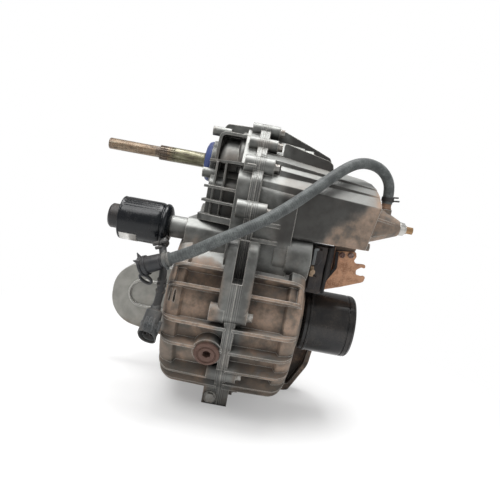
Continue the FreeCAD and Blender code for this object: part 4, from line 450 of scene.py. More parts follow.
@dataclass(frozen=True)
class Coating:
    """A painted, moulded or rubber surface with dust, scuffs and paler worn edges."""

    name: str
    colour: str
    worn: str = "#4b4a48"
    dust: str = "#8b7a69"
    roughness: float = 0.45
    dusted: float = 0.3
    scuffed: float = 0.3
    bump: float = 0.15
    gloss: float = 0.35
    cloud_mm: float = 22.0
    speck_mm: float = 1.8
    orange_peel_mm: float = 2.0
    edge_radius_mm: float = 0.8

    def build(self) -> Material:
        """Builds the material.

        Returns:
            The finished material.
        """
        t, add, here = begin(self.name)
        normal = add(Node.NORMAL)
        clouds = add(Node.NOISE, here, 1.0 / self.cloud_mm, 5.0, 0.6)
        specks = add(Node.NOISE, here, 1.0 / self.speck_mm, 5.0, 0.75)
        peel = add(Node.NOISE, here, 1.0 / self.orange_peel_mm, 2.0, 0.5)
        rounded = add(Node.BEVEL, self.edge_radius_mm * MM, samples=5)
        edge = add(Node.TIMES, add(Node.RAMP, add(Node.DOT, rounded, normal), 0.99, 0.88),
                   add(Node.RAMP, specks, 0.35, 0.6))
        edge = add(Node.TIMES, edge, self.scuffed)
        settled = add(Node.TIMES, add(Node.RAMP, add(Node.Z, normal), 0.2, 1.0), 0.3)
        dusty = add(Node.TIMES, add(Node.RAMP, clouds, 0.34, 0.7), add(Node.RAMP, specks, 0.28, 0.72))
        dusty = add(Node.TIMES, add(Node.ADD, dusty, settled), self.dusted, use_clamp=True)
        base = add(Node.MIX, add(Node.TIMES, clouds, 0.3), self.colour, self.worn)
        colour = add(Node.MIX, edge, add(Node.MIX, dusty, base, self.dust), self.worn)
        rough = add(Node.TIMES_PLUS, clouds, 0.15, self.roughness - 0.07)
        rough = add(Node.TIMES_PLUS, dusty, 0.5, rough, use_clamp=True)
        return t.close(colour, rough, 0.0, peel, self.bump, 0.3, rounded, self.gloss)


@dataclass(frozen=True)
class RustedPlate:
    """Pressed mild steel plate gone orange-brown, with darker pits and a near-black flange: old black paint with
    painted shade.
    """

    name: str = "rusted_mild_steel"
    rust: str = "#bd9072"
    dark: str = "#8c6249"
    pale: str = "#d6b294"
    paint_and_shade_black: str = "#1d1c1c"
    blot_mm: float = 14.0
    pit_mm: float = 1.5
    edge_radius_mm: float = 0.7
    flange_front_mm: float = -13.5
    chipped_mm: float = 3.0

    def build(self) -> Material:
        """Builds the material.

        Returns:
            The finished material.
        """
        t, add, here = begin(self.name)
        blots = add(Node.NOISE, here, 1.0 / self.blot_mm, 6.0, 0.65)
        pits = add(Node.NOISE, here, 1.0 / self.pit_mm, 5.0, 0.75)
        base = add(Node.MIX, add(Node.RAMP, blots, 0.35, 0.6), self.dark, self.rust)
        colour = add(Node.MIX, add(Node.RAMP, pits, 0.45, 0.72), base, self.pale)
        # The bent flange in front is near black, old paint with painted shade, its edge ragged along the bend.
        depth = add(Node.ADD, add(Node.Y, here), add(Node.TIMES, blots, self.chipped_mm))
        painted = add(Node.RAMP, depth, self.flange_front_mm, self.flange_front_mm - 2.5)
        colour = add(Node.MIX, painted, colour, self.paint_and_shade_black)
        return t.close(colour, 0.86, 0.1, pits, 0.5, 0.4, add(Node.BEVEL, self.edge_radius_mm * MM, samples=5))


@dataclass(frozen=True)
class BraidedRubber:
    """Fabric-covered rubber hose: a fine woven jacket in clouds of dust, near black in the weave."""

    name: str = "fabric_covered_hose"
    colour: str = "#272b2c"
    dust: str = "#757a78"
    # The real threads are about 1 mm apart; they are drawn coarser, as far as they need to show.
    thread_mm: float = 1.9
    radius_mm: float = 7.5
    length_mm: float = 399.0
    cloud_mm: float = 12.0
    speck_mm: float = 1.4

    def build(self) -> Material:
        """Builds the material; the weave follows the curve's own UV, along and round the hose.

        Returns:
            The finished material.
        """
        t, add, here = begin(self.name)
        round_count = round(2 * math.pi * self.radius_mm / self.thread_mm)
        along_count = round(self.length_mm / self.thread_mm)
        waves = []
        for sign in (1.0, -1.0):
            slanted = add(Node.STRETCH, add(Node.UV), (along_count * 0.5, round_count * sign, 1.0))
            total = add(Node.ADD, add(Node.X, slanted), add(Node.Y, slanted))
            waves.append(add(Node.SINE, add(Node.TIMES, total, 2 * math.pi)))
        weave = add(Node.TIMES, *waves)
        clouds = add(Node.NOISE, here, 1.0 / self.cloud_mm, 5.0, 0.65)
        specks = add(Node.NOISE, here, 1.0 / self.speck_mm, 4.0, 0.7)
        share = add(Node.TIMES, add(Node.RAMP, clouds, 0.32, 0.68), add(Node.RAMP, specks, 0.25, 0.7))
        share = add(Node.ADD, add(Node.TIMES, share, 0.58),
                    add(Node.TIMES, add(Node.RAMP, weave, -0.4, 0.8), 0.16), use_clamp=True)
        height = add(Node.ADD, add(Node.TIMES, weave, 0.4), add(Node.TIMES, specks, 2.4))
        return t.close(add(Node.MIX, share, self.colour, self.dust), 0.62, 0.0, height, 0.3, 0.3, sheen=0.15)


# Each finish with the CAD nodes that wear it. Nodes that a piece below replaces have none.
COATS: Sequence[tuple[Finish, str]] = (
    # The left half is dusty beyond its neck, the right half on the barrel and the block's far end.
    (CastAluminium("cast_aluminium_left", warm_from_mm=-58.0, warm_to_mm=-80.0, warm_top_mm=243.0, hollow_shade_and_grease_share=0.5),
     "left_case"),
    (CastAluminium("cast_aluminium_right"), "right_case"),
    # The arm is a paler casting, dusty only along its underside; the foot is dark brown: brown dirt, darkened as
    # painted shade.
    (CastAluminium("cast_aluminium_arm", metal="#93928c", shade="#7c7b76", edge="#dcdbd6", dust_top_mm=74.0,
                   warm_from_mm=400.0, warm_to_mm=450.0), "left_mount_arm"),
    (CastAluminium("cast_aluminium_foot_painted_shade", metal="#5a524d", shade="#3b3735", dust="#5a4a40"), "right_mount_foot"),
    # Zinc plate dulled to an even grey with brown stains.
    (BareSteel("zinc_plated_bolt_steel", "#8b8a86", stained=0.45, roughness=0.45),
     "case_bolts arm_bolts foot_bolts drain_plug"),
    # Red-brown rust with little metal left to shine.
    (BareSteel("rusty_bolt_iron", "#6e5046", stain="#4a2f28", stained=0.7, roughness=0.6, metallic=0.4),
     "bracket_bolts"),
    # Hobbed teeth under oil: mid grey, smooth and bright.
    (BareSteel("oiled_gear_steel", "#8f8f90", stained=0.1, roughness=0.3),
     "counter_shaft dog_hub high_gear low_gear dog_collar ring_gear lock_collar spider_gear_top spider_gear_bottom "
     "side_gear_left side_gear_right shift_drum"),
    # Ground races and rods: the palest steel, with hardly a mark.
    (BareSteel("ground_steel", "#b9b8b4", stained=0.1, roughness=0.3),
     "input_bearing_left input_bearing_right counter_bearing_left counter_bearing_right carrier_bearing "
     "output_bearing_left output_bearing_right shift_rail spider_pin left_output_shaft lock_rod shift_shaft_seal"),
    # A bright sleeve whose bare tip has gone tan.
    (BareSteel("selector_shaft_steel", "#b9b8b4", stained=0.1, roughness=0.35, tip_from_mm=222.0), "shift_shaft"),
    (ZincShaft(), "input_shaft"),
    # Rough dark iron as cast.
    (BareSteel("cast_iron_carrier", "#56534f", stained=0.2, roughness=0.6, metallic=0.6),
     "diff_carrier shift_fork lock_fork"),
    # Oiled black oxide, nearly without stain.
    (BareSteel("black_oxide_bolt_steel", "#2a2a2b", stained=0.1, roughness=0.5), "ring_gear_bolts"),
    # Baked black coat on the drawn cup: smooth, with long reflections and greyed rims.
    (Coating("black_electrocoat_cup", "#0c0d10", worn="#3c3b3a", dusted=0.10, roughness=0.2, scuffed=0.5),
     "right_output_cup cup_ring"),
    # Moulded nylon: satin black.
    (Coating("black_cap_moulding", "#131416", worn="#3d3d40", dusted=0.12, roughness=0.42), "solenoid_cap"),
    # Moulded seal rubber: deep blue or black, soft and dusty.
    (Coating("blue_seal_rubber", "#1c346c", worn="#3a568c", dusted=0.22, roughness=0.45), "input_seal"),
    (Coating("nitrile_seal_rubber", "#1c1c1c", dusted=0.3, roughness=0.6), "output_seal_left output_seal_right"),
    # Glass-filled nylon: grey and slightly chalky.
    (Coating("grey_glass_filled_nylon", "#55585a", worn="#8b8b89", dusted=0.35, roughness=0.55), "range_switch_cap"),
    # Black phosphated spring steel.
    (Coating("black_spring_clamp", "#121315", worn="#4c4c4e", dusted=0.12, roughness=0.35), "hose_clamp_upper"),
    (RustedPlate(), "cable_bracket"))


def dress_nodes() -> None:
    """Puts each finish on the slots of the CAD nodes that wear it."""
    for finish, nodes in COATS:
        material = finish.build()
        for name in nodes.split():
            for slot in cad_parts[name].material_slots:
                slot.material = material
        log.info("finish %s on %s", material.name, nodes)


class Form:
    """A mesh of the object's own, put together in millimetres from the axle axis."""

    point_radius_mm = 0.02
    smooth_below = math.radians(32.0)
    bevel_above = math.radians(40.0)

    def __init__(self, name: str) -> None:
        """Starts an empty form of that name."""
        self.name = name
        self.mesh = bmesh.new()

    def rows(self, rows: Sequence[Sequence[Vector]], closed: bool = True) -> None:
        """Skins rows of equal length, one after another.

        Args:
            rows: Rows of points in millimetres.
            closed: Whether each row is a ring and the ends are capped.
        """
        made = [[self.mesh.verts.new(place(*point)) for point in row] for row in rows]
        count = len(made[0])
        for first, second in zip(made, made[1:]):
            for k in range(count if closed else count - 1):
                m = (k + 1) % count
                self.mesh.faces.new((first[k], first[m], second[m], second[k]))
        if closed:
            self.mesh.faces.new(list(reversed(made[0])))
            self.mesh.faces.new(made[-1])
            bmesh.ops.recalc_face_normals(self.mesh, faces=self.mesh.faces)

    def turned(self, profile: Profile, at: Vector, way: Vector, steps: int = 64,
               wave: Callable[[float, float], float] | None = None) -> None:
        """Turns a profile about an axis.

        Args:
            profile: Rows of distance along the axis and radius, with 6 as a third number where the ring is a hexagon.
            at: Start of the axis.
            way: Direction of the axis.
            steps: Points round the axis.
            wave: Extra radius from distance and angle.
        """
        way = way.normalized()
        side = way.cross(BACK if abs(way.y) < 0.9 else UP).normalized()
        up = way.cross(side)
        rings = []
        for along, radius, *sides in profile:
            ring = []
            for k in range(steps):
                angle = 2 * math.pi * k / steps
                r = max(radius, self.point_radius_mm)
                if sides:
                    part = 2 * math.pi / sides[0]
                    r /= math.cos((angle + part / 2) % part - part / 2)
                if wave:
                    r += wave(along, angle)
                ring.append(at + way * along + side * (r * math.cos(angle)) + up * (r * math.sin(angle)))
            rings.append(ring)
        self.rows(rings)

    def prism(self, outline: Outline, y0: float, y1: float, inset: float = 0.0) -> None:
        """Raises an outline between two depths.

        Args:
            outline: Corners as (x, z).
            y0: Depth of the near face.
            y1: Depth of the far face.
            inset: How far the near face is drawn in.
        """
        cx = sum(x for x, _ in outline) / len(outline)
        cz = sum(z for _, z in outline) / len(outline)
        near = [Vector((x + (inset if x < cx else -inset), y0, z + (inset if z < cz else -inset))) for x, z in outline]
        self.rows([near, [Vector((x, y1, z)) for x, z in outline]])

    def finish(self, finish: Finish, bevel_mm: float = 0.0) -> bpy.types.Object:
        """Makes the object, dresses it and fixes it to the housing.

        Args:
            finish: What it wears.
            bevel_mm: Width of the rounded edges, or 0 for none.

        Returns:
            The new object.
        """
        data = bpy.data.meshes.new(self.name)
        self.mesh.to_mesh(data)
        self.mesh.free()
        data.polygons.foreach_set("use_smooth", [True] * len(data.polygons))
        data.set_sharp_from_angle(angle=self.smooth_below)
        data.materials.append(finish.build())
        piece = put(self.name, data)
        if bevel_mm:
            edge = piece.modifiers.new("edges", "BEVEL")
            edge.width = bevel_mm * MM
            edge.segments = 3
            edge.limit_method = "ANGLE"
            edge.angle_limit = self.bevel_above
        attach(piece, "housing")
        return piece


@dataclass
class Solenoid:
    """The locking solenoid: can with rolled shoulder and flutes, moulded outlet with its strap, and the bare label."""

    start: Point = (-176.0, -46.0, 107.0)
    radius_mm: float = 30.0
    # Distance from the free end, and how far the wall lies below the radius.
    wall: Profile = (
        (0.0, 2.4), (0.5, 1.0), (1.4, 0.3), (2.6, 0.2), (3.6, 0.7), (7.0, 0.3), (8.0, 0.2), (53.0, 0.2),
        (55.0, 0.3), (57.5, 1.0), (58.5, 2.2), (59.5, 2.2), (60.5, 0.9), (62.5, 0.4), (65.0, 1.2), (67.5, 3.8),
        (69.2, 8.0), (69.8, 13.0))
    length_mm: float = 69.95
    flute_mm: float = 0.3
    flute_pitch_degrees: float = 9.0
    flutes_degrees: tuple[float, float] = (24.0, 60.0)
    flutes_along_mm: tuple[float, float] = (5.0, 55.0)
    outlet_at: Point = (-112.0, -62.0, 90.0)
    outlet_way: Point = (0.35, -0.72, -0.6)
    outlet: Profile = ((0, 7.5), (3, 7.5), (3, 6.2), (9, 6.0), (9, 7.4), (11, 7.4), (11, 5.9), (14, 5.6))
    # Middle and half width of each fold of the strap round the outlet.
    folds: Sequence[tuple[Point, float]] = (
        ((-117.5, -76.0, 83.0), 3.2), ((-107.5, -79.0, 87.5), 2.6), ((-112.5, -81.0, 79.0), 2.4))
    fold_way: Point = (0.9, 0.1, 0.35)
    label_x_mm: tuple[float, float] = (-172.0, -148.0)
    label_degrees: tuple[float, float] = (218.0, 258.0)
    label_proud_mm: float = 0.25
    label_thick_mm: float = 0.2
    label_steps: int = 16

    def flute(self, along: float, angle: float) -> float:
        """Gives the wall's extra radius in the few long flutes along the upper front.

        Args:
            along: Distance from the free end in millimetres.
            angle: Angle from the top towards the front in radians.

        Returns:
            The extra radius, 0 or less.
        """
        first, last = self.flutes_degrees
        down = math.degrees(angle) - first
        if not (self.flutes_along_mm[0] < along < self.flutes_along_mm[1] and 0.0 < down < last - first):
            return 0.0
        return self.flute_mm * (math.cos(2 * math.pi * down / self.flute_pitch_degrees) - 1.0) / 2

    def label(self) -> bpy.types.Object:
        """Builds the bare white label on the lower front of the can.

        Returns:
            The label.
        """
        r = self.radius_mm + self.label_proud_mm
        _, y, z = self.start
        first, last = self.label_degrees
        turns = [math.radians(first + (last - first) * k / self.label_steps) for k in range(self.label_steps + 1)]
        blank = Form("solenoid_label_blank")
        blank.rows([[Vector((x, y + r * math.cos(turn), z + r * math.sin(turn))) for turn in turns]
                    for x in self.label_x_mm], closed=False)
        # Vinyl film: matt white, greyed a little by dust.
        piece = blank.finish(Coating("white_vinyl_label", "#e6e5e1", worn="#c9c6bf", dusted=0.15, roughness=0.5,
                                     scuffed=0.1, bump=0.05))
        piece.modifiers.new("film", "SOLIDIFY").thickness = self.label_thick_mm * MM
        return piece

    def build(self) -> Pieces:
        """Builds the can, the outlet and the label.

        Returns:
            The three pieces.
        """
        can = Form("solenoid_can")
        wall = [(along, self.radius_mm - below) for along, below in self.wall]
        can.turned([(0.0, 0.0), *wall, (self.length_mm, 0.0)], Vector(self.start), RIGHT, 480, self.flute)
        body = can.finish(SolenoidCan())
        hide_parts("solenoid_body")
        outlet = Form("solenoid_outlet")
        outlet.turned(self.outlet, Vector(self.outlet_at), Vector(self.outlet_way), steps=32)
        for middle, half in self.folds:
            outlet.turned([(-5, half * 0.6), (-4, half), (4, half), (5, half * 0.6)], Vector(middle),
                          Vector(self.fold_way), steps=6)
        # Moulded outlet: gloss black; its pale corners are painted highlight, with some scuffing.
        tail = outlet.finish(Coating("black_outlet_moulding", "#101113", worn="#8e8e8c", dusted=0.1, roughness=0.3,
                                     scuffed=0.9, gloss=0.5), 0.4)
        return [body, tail, self.label()]


@dataclass
class HoseEnd:
    """The quick fitting on the hose's lower end: ribbed collar, slightly flared body, torn rim and hanging loop."""

    start: Point = (-98.0, -112.0, 68.0)
    way: Point = (-0.885, 0.16, -0.437)
    body: Profile = (
        (-1.0, 4.2), (-1.0, 8.6), (2.0, 8.6), (3.0, 10.0), (4.5, 10.4), (28.0, 11.6), (28.5, 13.2), (31.0, 13.6),
        (31.6, 13.0), (31.6, 9.6), (14.0, 9.0), (14.0, 0.0))
    rim_at_mm: float = 29.5
    # Turn from straight up, length and forward lean of each torn tooth of the rim.
    teeth: Sequence[Point] = ((8.0, 8.0, 0.15), (52.0, 7.0, 0.9), (205.0, 5.5, 0.35), (290.0, 5.0, 0.2))
    tooth_root_mm: float = 11.0
    collar: Profile = (
        (-10.0, 7.6), (-10.0, 8.9), (-9.0, 9.6), (-7.2, 9.6), (-6.4, 8.7), (-5.6, 8.7), (-4.8, 10.4), (-1.8, 10.6),
        (-1.2, 9.6), (-0.8, 9.4), (-0.8, 7.6))
    ear_degrees: Sequence[float] = (-10.0, 175.0)
    ear: Profile = ((0.0, 2.6), (3.2, 2.2), (3.6, 1.2))
    ear_behind_mm: float = 3.4
    ear_root_mm: float = 9.2
    loop_below_mm: float = 16.5
    loop_long: Point = (0.88, 0.12, -0.40)
    loop_short: Point = (0.30, -0.25, 0.80)
    loop_radii_mm: tuple[float, float] = (8.4, 4.4)
    cord_radii_mm: tuple[float, float] = (1.9, 2.8)
    loop_steps: int = 32
    band: Profile = ((-2.0, 12.0), (-2.0, 12.9), (2.0, 13.1), (2.0, 12.0))
    band_at_mm: float = 24.0

    def outward(self, degrees: float) -> Vector:
        """Gives a direction square to the fitting's axis.

        Args:
            degrees: Turn from straight up.

        Returns:
            The direction, one long.
        """
        way = Vector(self.way).normalized()
        up = (UP - way * way.z).normalized()
        return up * math.cos(math.radians(degrees)) - way.cross(up) * math.sin(math.radians(degrees))

    def loop(self) -> list[list[Vector]]:
        """Gives the sections of the oval loop that hangs from the rim.

        Returns:
            Rings of points, the last on the first.
        """
        middle = Vector(self.start) + Vector(self.way).normalized() * self.rim_at_mm
        middle += Vector((0.0, -2.0, 0.0)) - self.outward(0.0) * self.loop_below_mm
        long, short = Vector(self.loop_long).normalized(), Vector(self.loop_short).normalized()
        across = long.cross(short).normalized()
        rings = []
        for k in range(self.loop_steps + 1):
            turn = 2 * math.pi * k / self.loop_steps
            spot = middle + long * (self.loop_radii_mm[0] * math.cos(turn))
            spot += short * (self.loop_radii_mm[1] * math.sin(turn))
            out = (long * math.cos(turn) + short * math.sin(turn)).normalized()
            rings.append([spot + out * (self.cord_radii_mm[0] * math.cos(a)) + across * (
                self.cord_radii_mm[1] * math.sin(a)) for a in (2 * math.pi * j / 12 for j in range(12))])
        return rings

    def build(self) -> Pieces:
        """Builds the fitting, its collar and its loop.

        Returns:
            The three pieces.
        """
        at, way = Vector(self.start), Vector(self.way).normalized()
        fitting = Form("vent_fitting_body")
        fitting.turned(self.body, at, way)
        for degrees, length, lean in self.teeth:
            out = self.outward(degrees)
            fitting.turned([(0.0, 3.0), (2.5, 2.5), (length, 0.5)],
                           at + way * self.rim_at_mm + out * self.tooth_root_mm, out + way * lean, steps=8)
        # Moulded nylon: satin black with greyed edges.
        black = Coating("black_nylon_fitting", "#15171a", worn="#55585c", dusted=0.1, roughness=0.36, scuffed=0.7)
        body = fitting.finish(black, 0.3)
        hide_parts("vent_fitting")
        collar = Form("vent_collar_ribbed")
        collar.turned(self.collar, at, way)
        for degrees in self.ear_degrees:
            out = self.outward(degrees)
            collar.turned(self.ear, at - way * self.ear_behind_mm + out * self.ear_root_mm, out, steps=12)
        # Dull grey spring clip, rubbed pale on its ribs.
        ring = collar.finish(Coating("grey_spring_clip", "#3a3d3e", worn="#8f9290", dusted=0.25, roughness=0.45,
                                     scuffed=0.8), 0.3)
        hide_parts("hose_clamp_lower")
        loop = Form("hose_clip_loop")
        loop.rows(self.loop())
        loop.turned(self.band, at + way * self.band_at_mm, way)
        tie = loop.finish(black)
        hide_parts("hose_clip")
        return [body, ring, tie]


@dataclass
class LeadConnector:
    """The two-way connector at the lead's end: ribbed shell, oval mouth, two cavities and the ridged boot."""

    start: Point = (-97.5, -116.5, 4.0)
    mouth: Point = (-100.5, -130.5, -28.0)
    look: Point = (-0.25, -0.80, -0.55)
    # Share of the length, half width, half depth, tilt from the axis to the mouth, and how deep inside the mouth.
    sections: Profile = (
        (-0.22, 5.4, 5.4, 0.0), (-0.10, 6.4, 6.2, 0.0), (-0.02, 6.6, 6.4, 0.0), (0.02, 9.4, 8.4, 0.05),
        (0.06, 10.4, 9.2, 0.1), (0.52, 11.2, 9.8, 0.4), (0.56, 12.2, 10.8, 0.45), (0.66, 12.4, 11.0, 0.5),
        (0.69, 11.6, 10.4, 0.55), (0.92, 12.6, 11.4, 0.9), (1.0, 12.8, 11.6, 1.0), (1.0, 12.4, 11.2, 1.0, -0.5),
        (1.0, 11.5, 10.3, 1.0, -0.5), (1.0, 11.2, 10.0, 1.0, 1.0), (1.0, 10.0, 8.8, 1.0, 12.0))
    squareness: float = 0.8
    section_steps: int = 48
    cavity: Profile = ((-13.0, 4.2), (-5.0, 4.2), (-4.4, 3.7), (-4.4, 2.2), (-11.0, 2.2))
    cavity_apart_mm: float = 4.6
    # Sideways place and length of each rib on the shell.
    ribs: Outline = ((-5.5, 17.0), (5.5, 17.0), (0.0, 13.0))
    latch: Profile = ((0.0, 1.6), (1.5, 2.8), (12.0, 2.8), (14.0, 1.4))
    ridge: Profile = ((-2.2, 5.0), (-1.8, 6.2), (1.2, 6.4), (2.2, 5.0))
    ridges_at: Sequence[Point] = ((-97.4, -102.5, 41.0), (-96.6, -105.2, 35.5), (-96.0, -108.6, 28.0))
    ridge_way: Point = (0.08, -0.47, 0.88)

    def section(self, share: float, wide: float, deep: float, tilt: float, inside: float = 0.0) -> list[Vector]:
        """Gives one squared oval section of the shell.

        Args:
            share: Place along the shell, from 0 to 1.
            wide: Half width.
            deep: Half depth.
            tilt: Turn from square on the axis, 0, to square on the mouth, 1.
            inside: How far it is moved back into the mouth.

        Returns:
            The ring of points.
        """
        at, end = Vector(self.start), Vector(self.mouth)
        normal = (end - at).normalized().lerp(Vector(self.look).normalized(), tilt).normalized()
        across = normal.cross(UP).normalized()
        down = normal.cross(across)
        middle = at.lerp(end, share) - normal * inside
        ring = []
        for k in range(self.section_steps):
            turn = 2 * math.pi * k / self.section_steps
            c, s = (math.copysign(abs(v) ** self.squareness, v) for v in (math.cos(turn), math.sin(turn)))
            ring.append(middle + across * (wide * c) + down * (deep * s))
        return ring

    def build(self) -> Pieces:
        """Builds the shell, its core and the boot's ridges.

        Returns:
            The three pieces.
        """
        at, end = Vector(self.start), Vector(self.mouth)
        way, look = (end - at).normalized(), Vector(self.look).normalized()
        square = way.cross(UP).normalized()
        shell = Form("lead_connector_shell")
        shell.rows([self.section(*row) for row in self.sections])
        for aside, reach in self.ribs:
            root = at + way * 9.0 + square * aside + Vector((0.0, -9.0, 1.5))
            shell.turned([(0.0, 1.1), (1.0, 1.5), (reach - 1.0, 1.5), (reach, 1.0)], root, way - BACK * 0.12, steps=10)
        shell.turned(self.latch, at + way * 12.0 - square * 11.6, way, steps=8)
        # Glass-filled nylon: grey-black, chalky and pale on every edge.
        piece = shell.finish(Coating("grey_black_connector_nylon", "#202224", worn="#85898a", dusted=0.25,
                                     roughness=0.42, scuffed=0.9), 0.25)
        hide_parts("lead_connector")
        core = Form("lead_connector_core")
        for side in (-1.0, 1.0):
            core.turned(self.cavity, end + look.cross(UP).normalized() * (side * self.cavity_apart_mm), look, steps=24)
        # Clean black nylon, shaded by the shell.
        sockets = core.finish(Coating("black_socket_nylon", "#0a0a0b", worn="#1d1d1e", dusted=0.05, roughness=0.5))
        boot = Form("lead_boot_ridges")
        for spot in self.ridges_at:
            boot.turned(self.ridge, Vector(spot), Vector(self.ridge_way), steps=32)
        # Moulded rubber: soft black, dusty in its grooves.
        ridges = boot.finish(Coating("black_boot_rubber", "#1b1c1e", worn="#5a5c5d", dusted=0.3, roughness=0.5,
                                     scuffed=0.8))
        return [piece, sockets, ridges]


@dataclass
class RangeSwitch:
    """The range switch beside its cap: grey step, worn tan nub and the black body that reaches to the bracket, its rear
    blocks partly painted shade.
    """

    front_y_mm: float = -45.0
    left_x_mm: float = 93.4
    top_z_mm: float = 117.0
    # Height and shift of each corner of the right edge; then back and right side of each shelf from the front.
    edge: Outline = ((96.0, 0.0), (86.0, -1.0), (66.0, 0.0), (49.0, -0.6))
    shelves: Outline = ((-30.0, 115.9), (-21.0, 119.8), (-13.0, 122.8))
    rear: Outline = ((96.0, 116.5), (137.0, 116.5), (137.0, 84.0), (124.0, 66.0), (96.0, 62.0))
    neck: Outline = ((96.0, 116.5), (119.0, 116.5), (119.0, 66.0), (96.0, 62.0))
    upper_pad: Outline = ((97.0, 113.0), (108.0, 113.0), (110.0, 98.0), (106.0, 90.0), (97.0, 92.0))
    lower_pad: Outline = ((95.0, 76.0), (108.0, 74.0), (107.0, 56.0), (95.0, 54.0))
    step: Outline = ((93.2, 115.0), (101.0, 116.0), (101.0, 113.0), (98.5, 112.5), (98.5, 92.0), (93.2, 91.0))
    nub: Profile = ((0.0, 3.8), (8.5, 3.8), (9.5, 3.0), (9.5, 0.0))
    nub_at: Point = (96.5, -62.0, 82.5)
    nub_plate: Outline = ((92.8, 90.0), (98.5, 90.0), (99.5, 75.0), (93.0, 75.0))

    def build(self) -> Pieces:
        """Builds the switch body, its step and its nub.

        Returns:
            The three pieces.
        """
        body = Form("range_switch_body")
        front = self.front_y_mm
        for back, right in self.shelves:
            body.prism([(self.left_x_mm, self.top_z_mm), (right, self.top_z_mm)]
                       + [(right + shift, z) for z, shift in self.edge] + [(self.left_x_mm, self.edge[-1][0])],
                       front, back, 0.2)
            front = back
        # The rear and neck blocks fill the dark gap back to the bracket: partly the switch's black moulding, partly
        # painted shade.
        body.prism(self.rear, -7.6, 6.0)
        body.prism(self.neck, -13.5, -7.0)
        body.prism(self.upper_pad, self.front_y_mm - 7.0, self.front_y_mm + 1.0, 0.8)
        body.prism(self.lower_pad, self.front_y_mm - 4.0, self.front_y_mm + 1.0, 0.8)
        # Moulded nylon: brown-black and matt with dust; on the rear blocks the black also stands for painted shade.
        black = body.finish(Coating("black_switch_nylon", "#1d1a1b", worn="#4c4849", dusted=0.22, roughness=0.5,
                                    scuffed=0.5), 1.2)
        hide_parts("range_switch")
        step = Form("range_switch_step")
        step.prism(self.step, -68.0, self.front_y_mm - 4.0, 0.6)
        # The same nylon in grey, chalky on its corners.
        grey = step.finish(Coating("grey_step_nylon", "#4b4f51", worn="#9a9b99", dusted=0.3, roughness=0.5,
                                   scuffed=0.8), 0.7)
        nub = Form("range_switch_nub")
        nub.turned(self.nub, Vector(self.nub_at), -BACK, steps=32)
        nub.prism(self.nub_plate, -66.0, -50.0, 0.5)
        # Brass gone dull tan under dust.
        tan = nub.finish(Coating("dusty_brass_contact", "#86705a", worn="#c0aa8c", dusted=0.5, roughness=0.5,
                                 scuffed=0.7), 0.6)
        return [black, grey, tan]


@dataclass
class FillPlug:
    """The filler plug: rusty flange with a raised rim, a groove and the hexagon socket."""

    x_mm: float = -23.0
    degrees_down: float = 19.5
    seat_mm: float = 120.0
    head: Profile = (
        (-20.0, 10.4), (0.05, 10.4), (0.05, 16.6), (1.0, 17.0), (4.6, 17.0), (5.8, 16.2), (6.3, 15.2), (6.3, 13.6),
        (5.4, 12.8), (4.4, 12.5), (4.4, 11.4), (5.0, 10.8), (5.6, 10.2), (5.6, 8.2), (5.2, 7.4), (4.6, 6.2, 6),
        (4.2, 5.1, 6), (-6.0, 5.1, 6), (-8.0, 0.0, 6))

    def build(self) -> Pieces:
        """Builds the plug.

        Returns:
            The plug.
        """
        turn = math.radians(180.0 + self.degrees_down)
        way = Vector((0.0, math.cos(turn), math.sin(turn)))
        plug = Form("fill_plug_head")
        plug.turned(self.head, RIGHT * self.x_mm + way * self.seat_mm, way, steps=72)
        # Rusted iron: red-brown, rough and without shine.
        piece = plug.finish(Coating("rusted_plug_iron", "#564039", worn="#7a6255", dust="#35261f", dusted=0.8,
                                    roughness=0.66, scuffed=0.6, bump=0.35))
        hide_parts("fill_plug")
        return [piece]


@dataclass
class VentNipple:
    """The vent nipple in the cone: flange, broad brown barrel under the hose and the two tangs of its clamp."""

    at: Point = (188.5, -20.0, 176.0)
    barrel: Profile = (
        (0.0, 2.9), (7.9, 3.0), (8.1, 7.6), (10.2, 7.8), (10.8, 6.9), (15.9, 6.7), (16.0, 3.8),
        (32.5, 3.7), (33.0, 3.2))
    tang: Profile = ((0.0, 1.2), (7.5, 1.2), (8.2, 0.7))
    tang_roots: Sequence[Point] = ((7.8, -4.0, 21.0), (7.8, 3.5, 26.0))
    tang_way: Point = (1.0, -0.15, 0.12)

    def build(self) -> Pieces:
        """Builds the nipple and the tangs.

        Returns:
            The nipple and the tangs.
        """
        nipple = Form("vent_nipple_barrel")
        nipple.turned(self.barrel, Vector(self.at), UP, steps=48)
        # Moulded nylon: warm brown under tan dust.
        barrel = nipple.finish(Coating("brown_nipple_nylon", "#6b4f3e", worn="#9a7f68", dusted=0.4, roughness=0.55,
                                       scuffed=0.7))
        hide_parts("vent_nipple")
        tangs = Form("clamp_tangs_upper")
        for root in self.tang_roots:
            tangs.turned(self.tang, Vector(self.at) + Vector(root), Vector(self.tang_way), steps=16)
        # Phosphated spring wire: satin black.
        wire = tangs.finish(Coating("black_clamp_wire", "#17181a", worn="#5b5c5d", dusted=0.15, roughness=0.4))
        return [barrel, wire]


def tube(name: str, route: Sequence[Point], radius_mm: float, finish: Finish) -> bpy.types.Object:
    """Lays a round tube along a route.

    Args:
        name: Name of the new piece.
        route: Points in millimetres from the axle axis.
        radius_mm: Outer radius.
        finish: What it wears.

    Returns:
        The curve object.
    """
    curve = bpy.data.curves.new(name, "CURVE")
    curve.dimensions = "3D"
    curve.bevel_depth = radius_mm * MM
    curve.bevel_resolution = 8
    curve.resolution_u = 24
    curve.use_fill_caps = True
    spline = curve.splines.new("NURBS")
    spline.points.add(len(route) - 1)
    for point, where in zip(spline.points, route):
        point.co = (*place(*where), 1.0)
    spline.order_u = 3
    spline.use_endpoint_u = True
    curve.materials.append(finish.build())
    return put(name, curve)


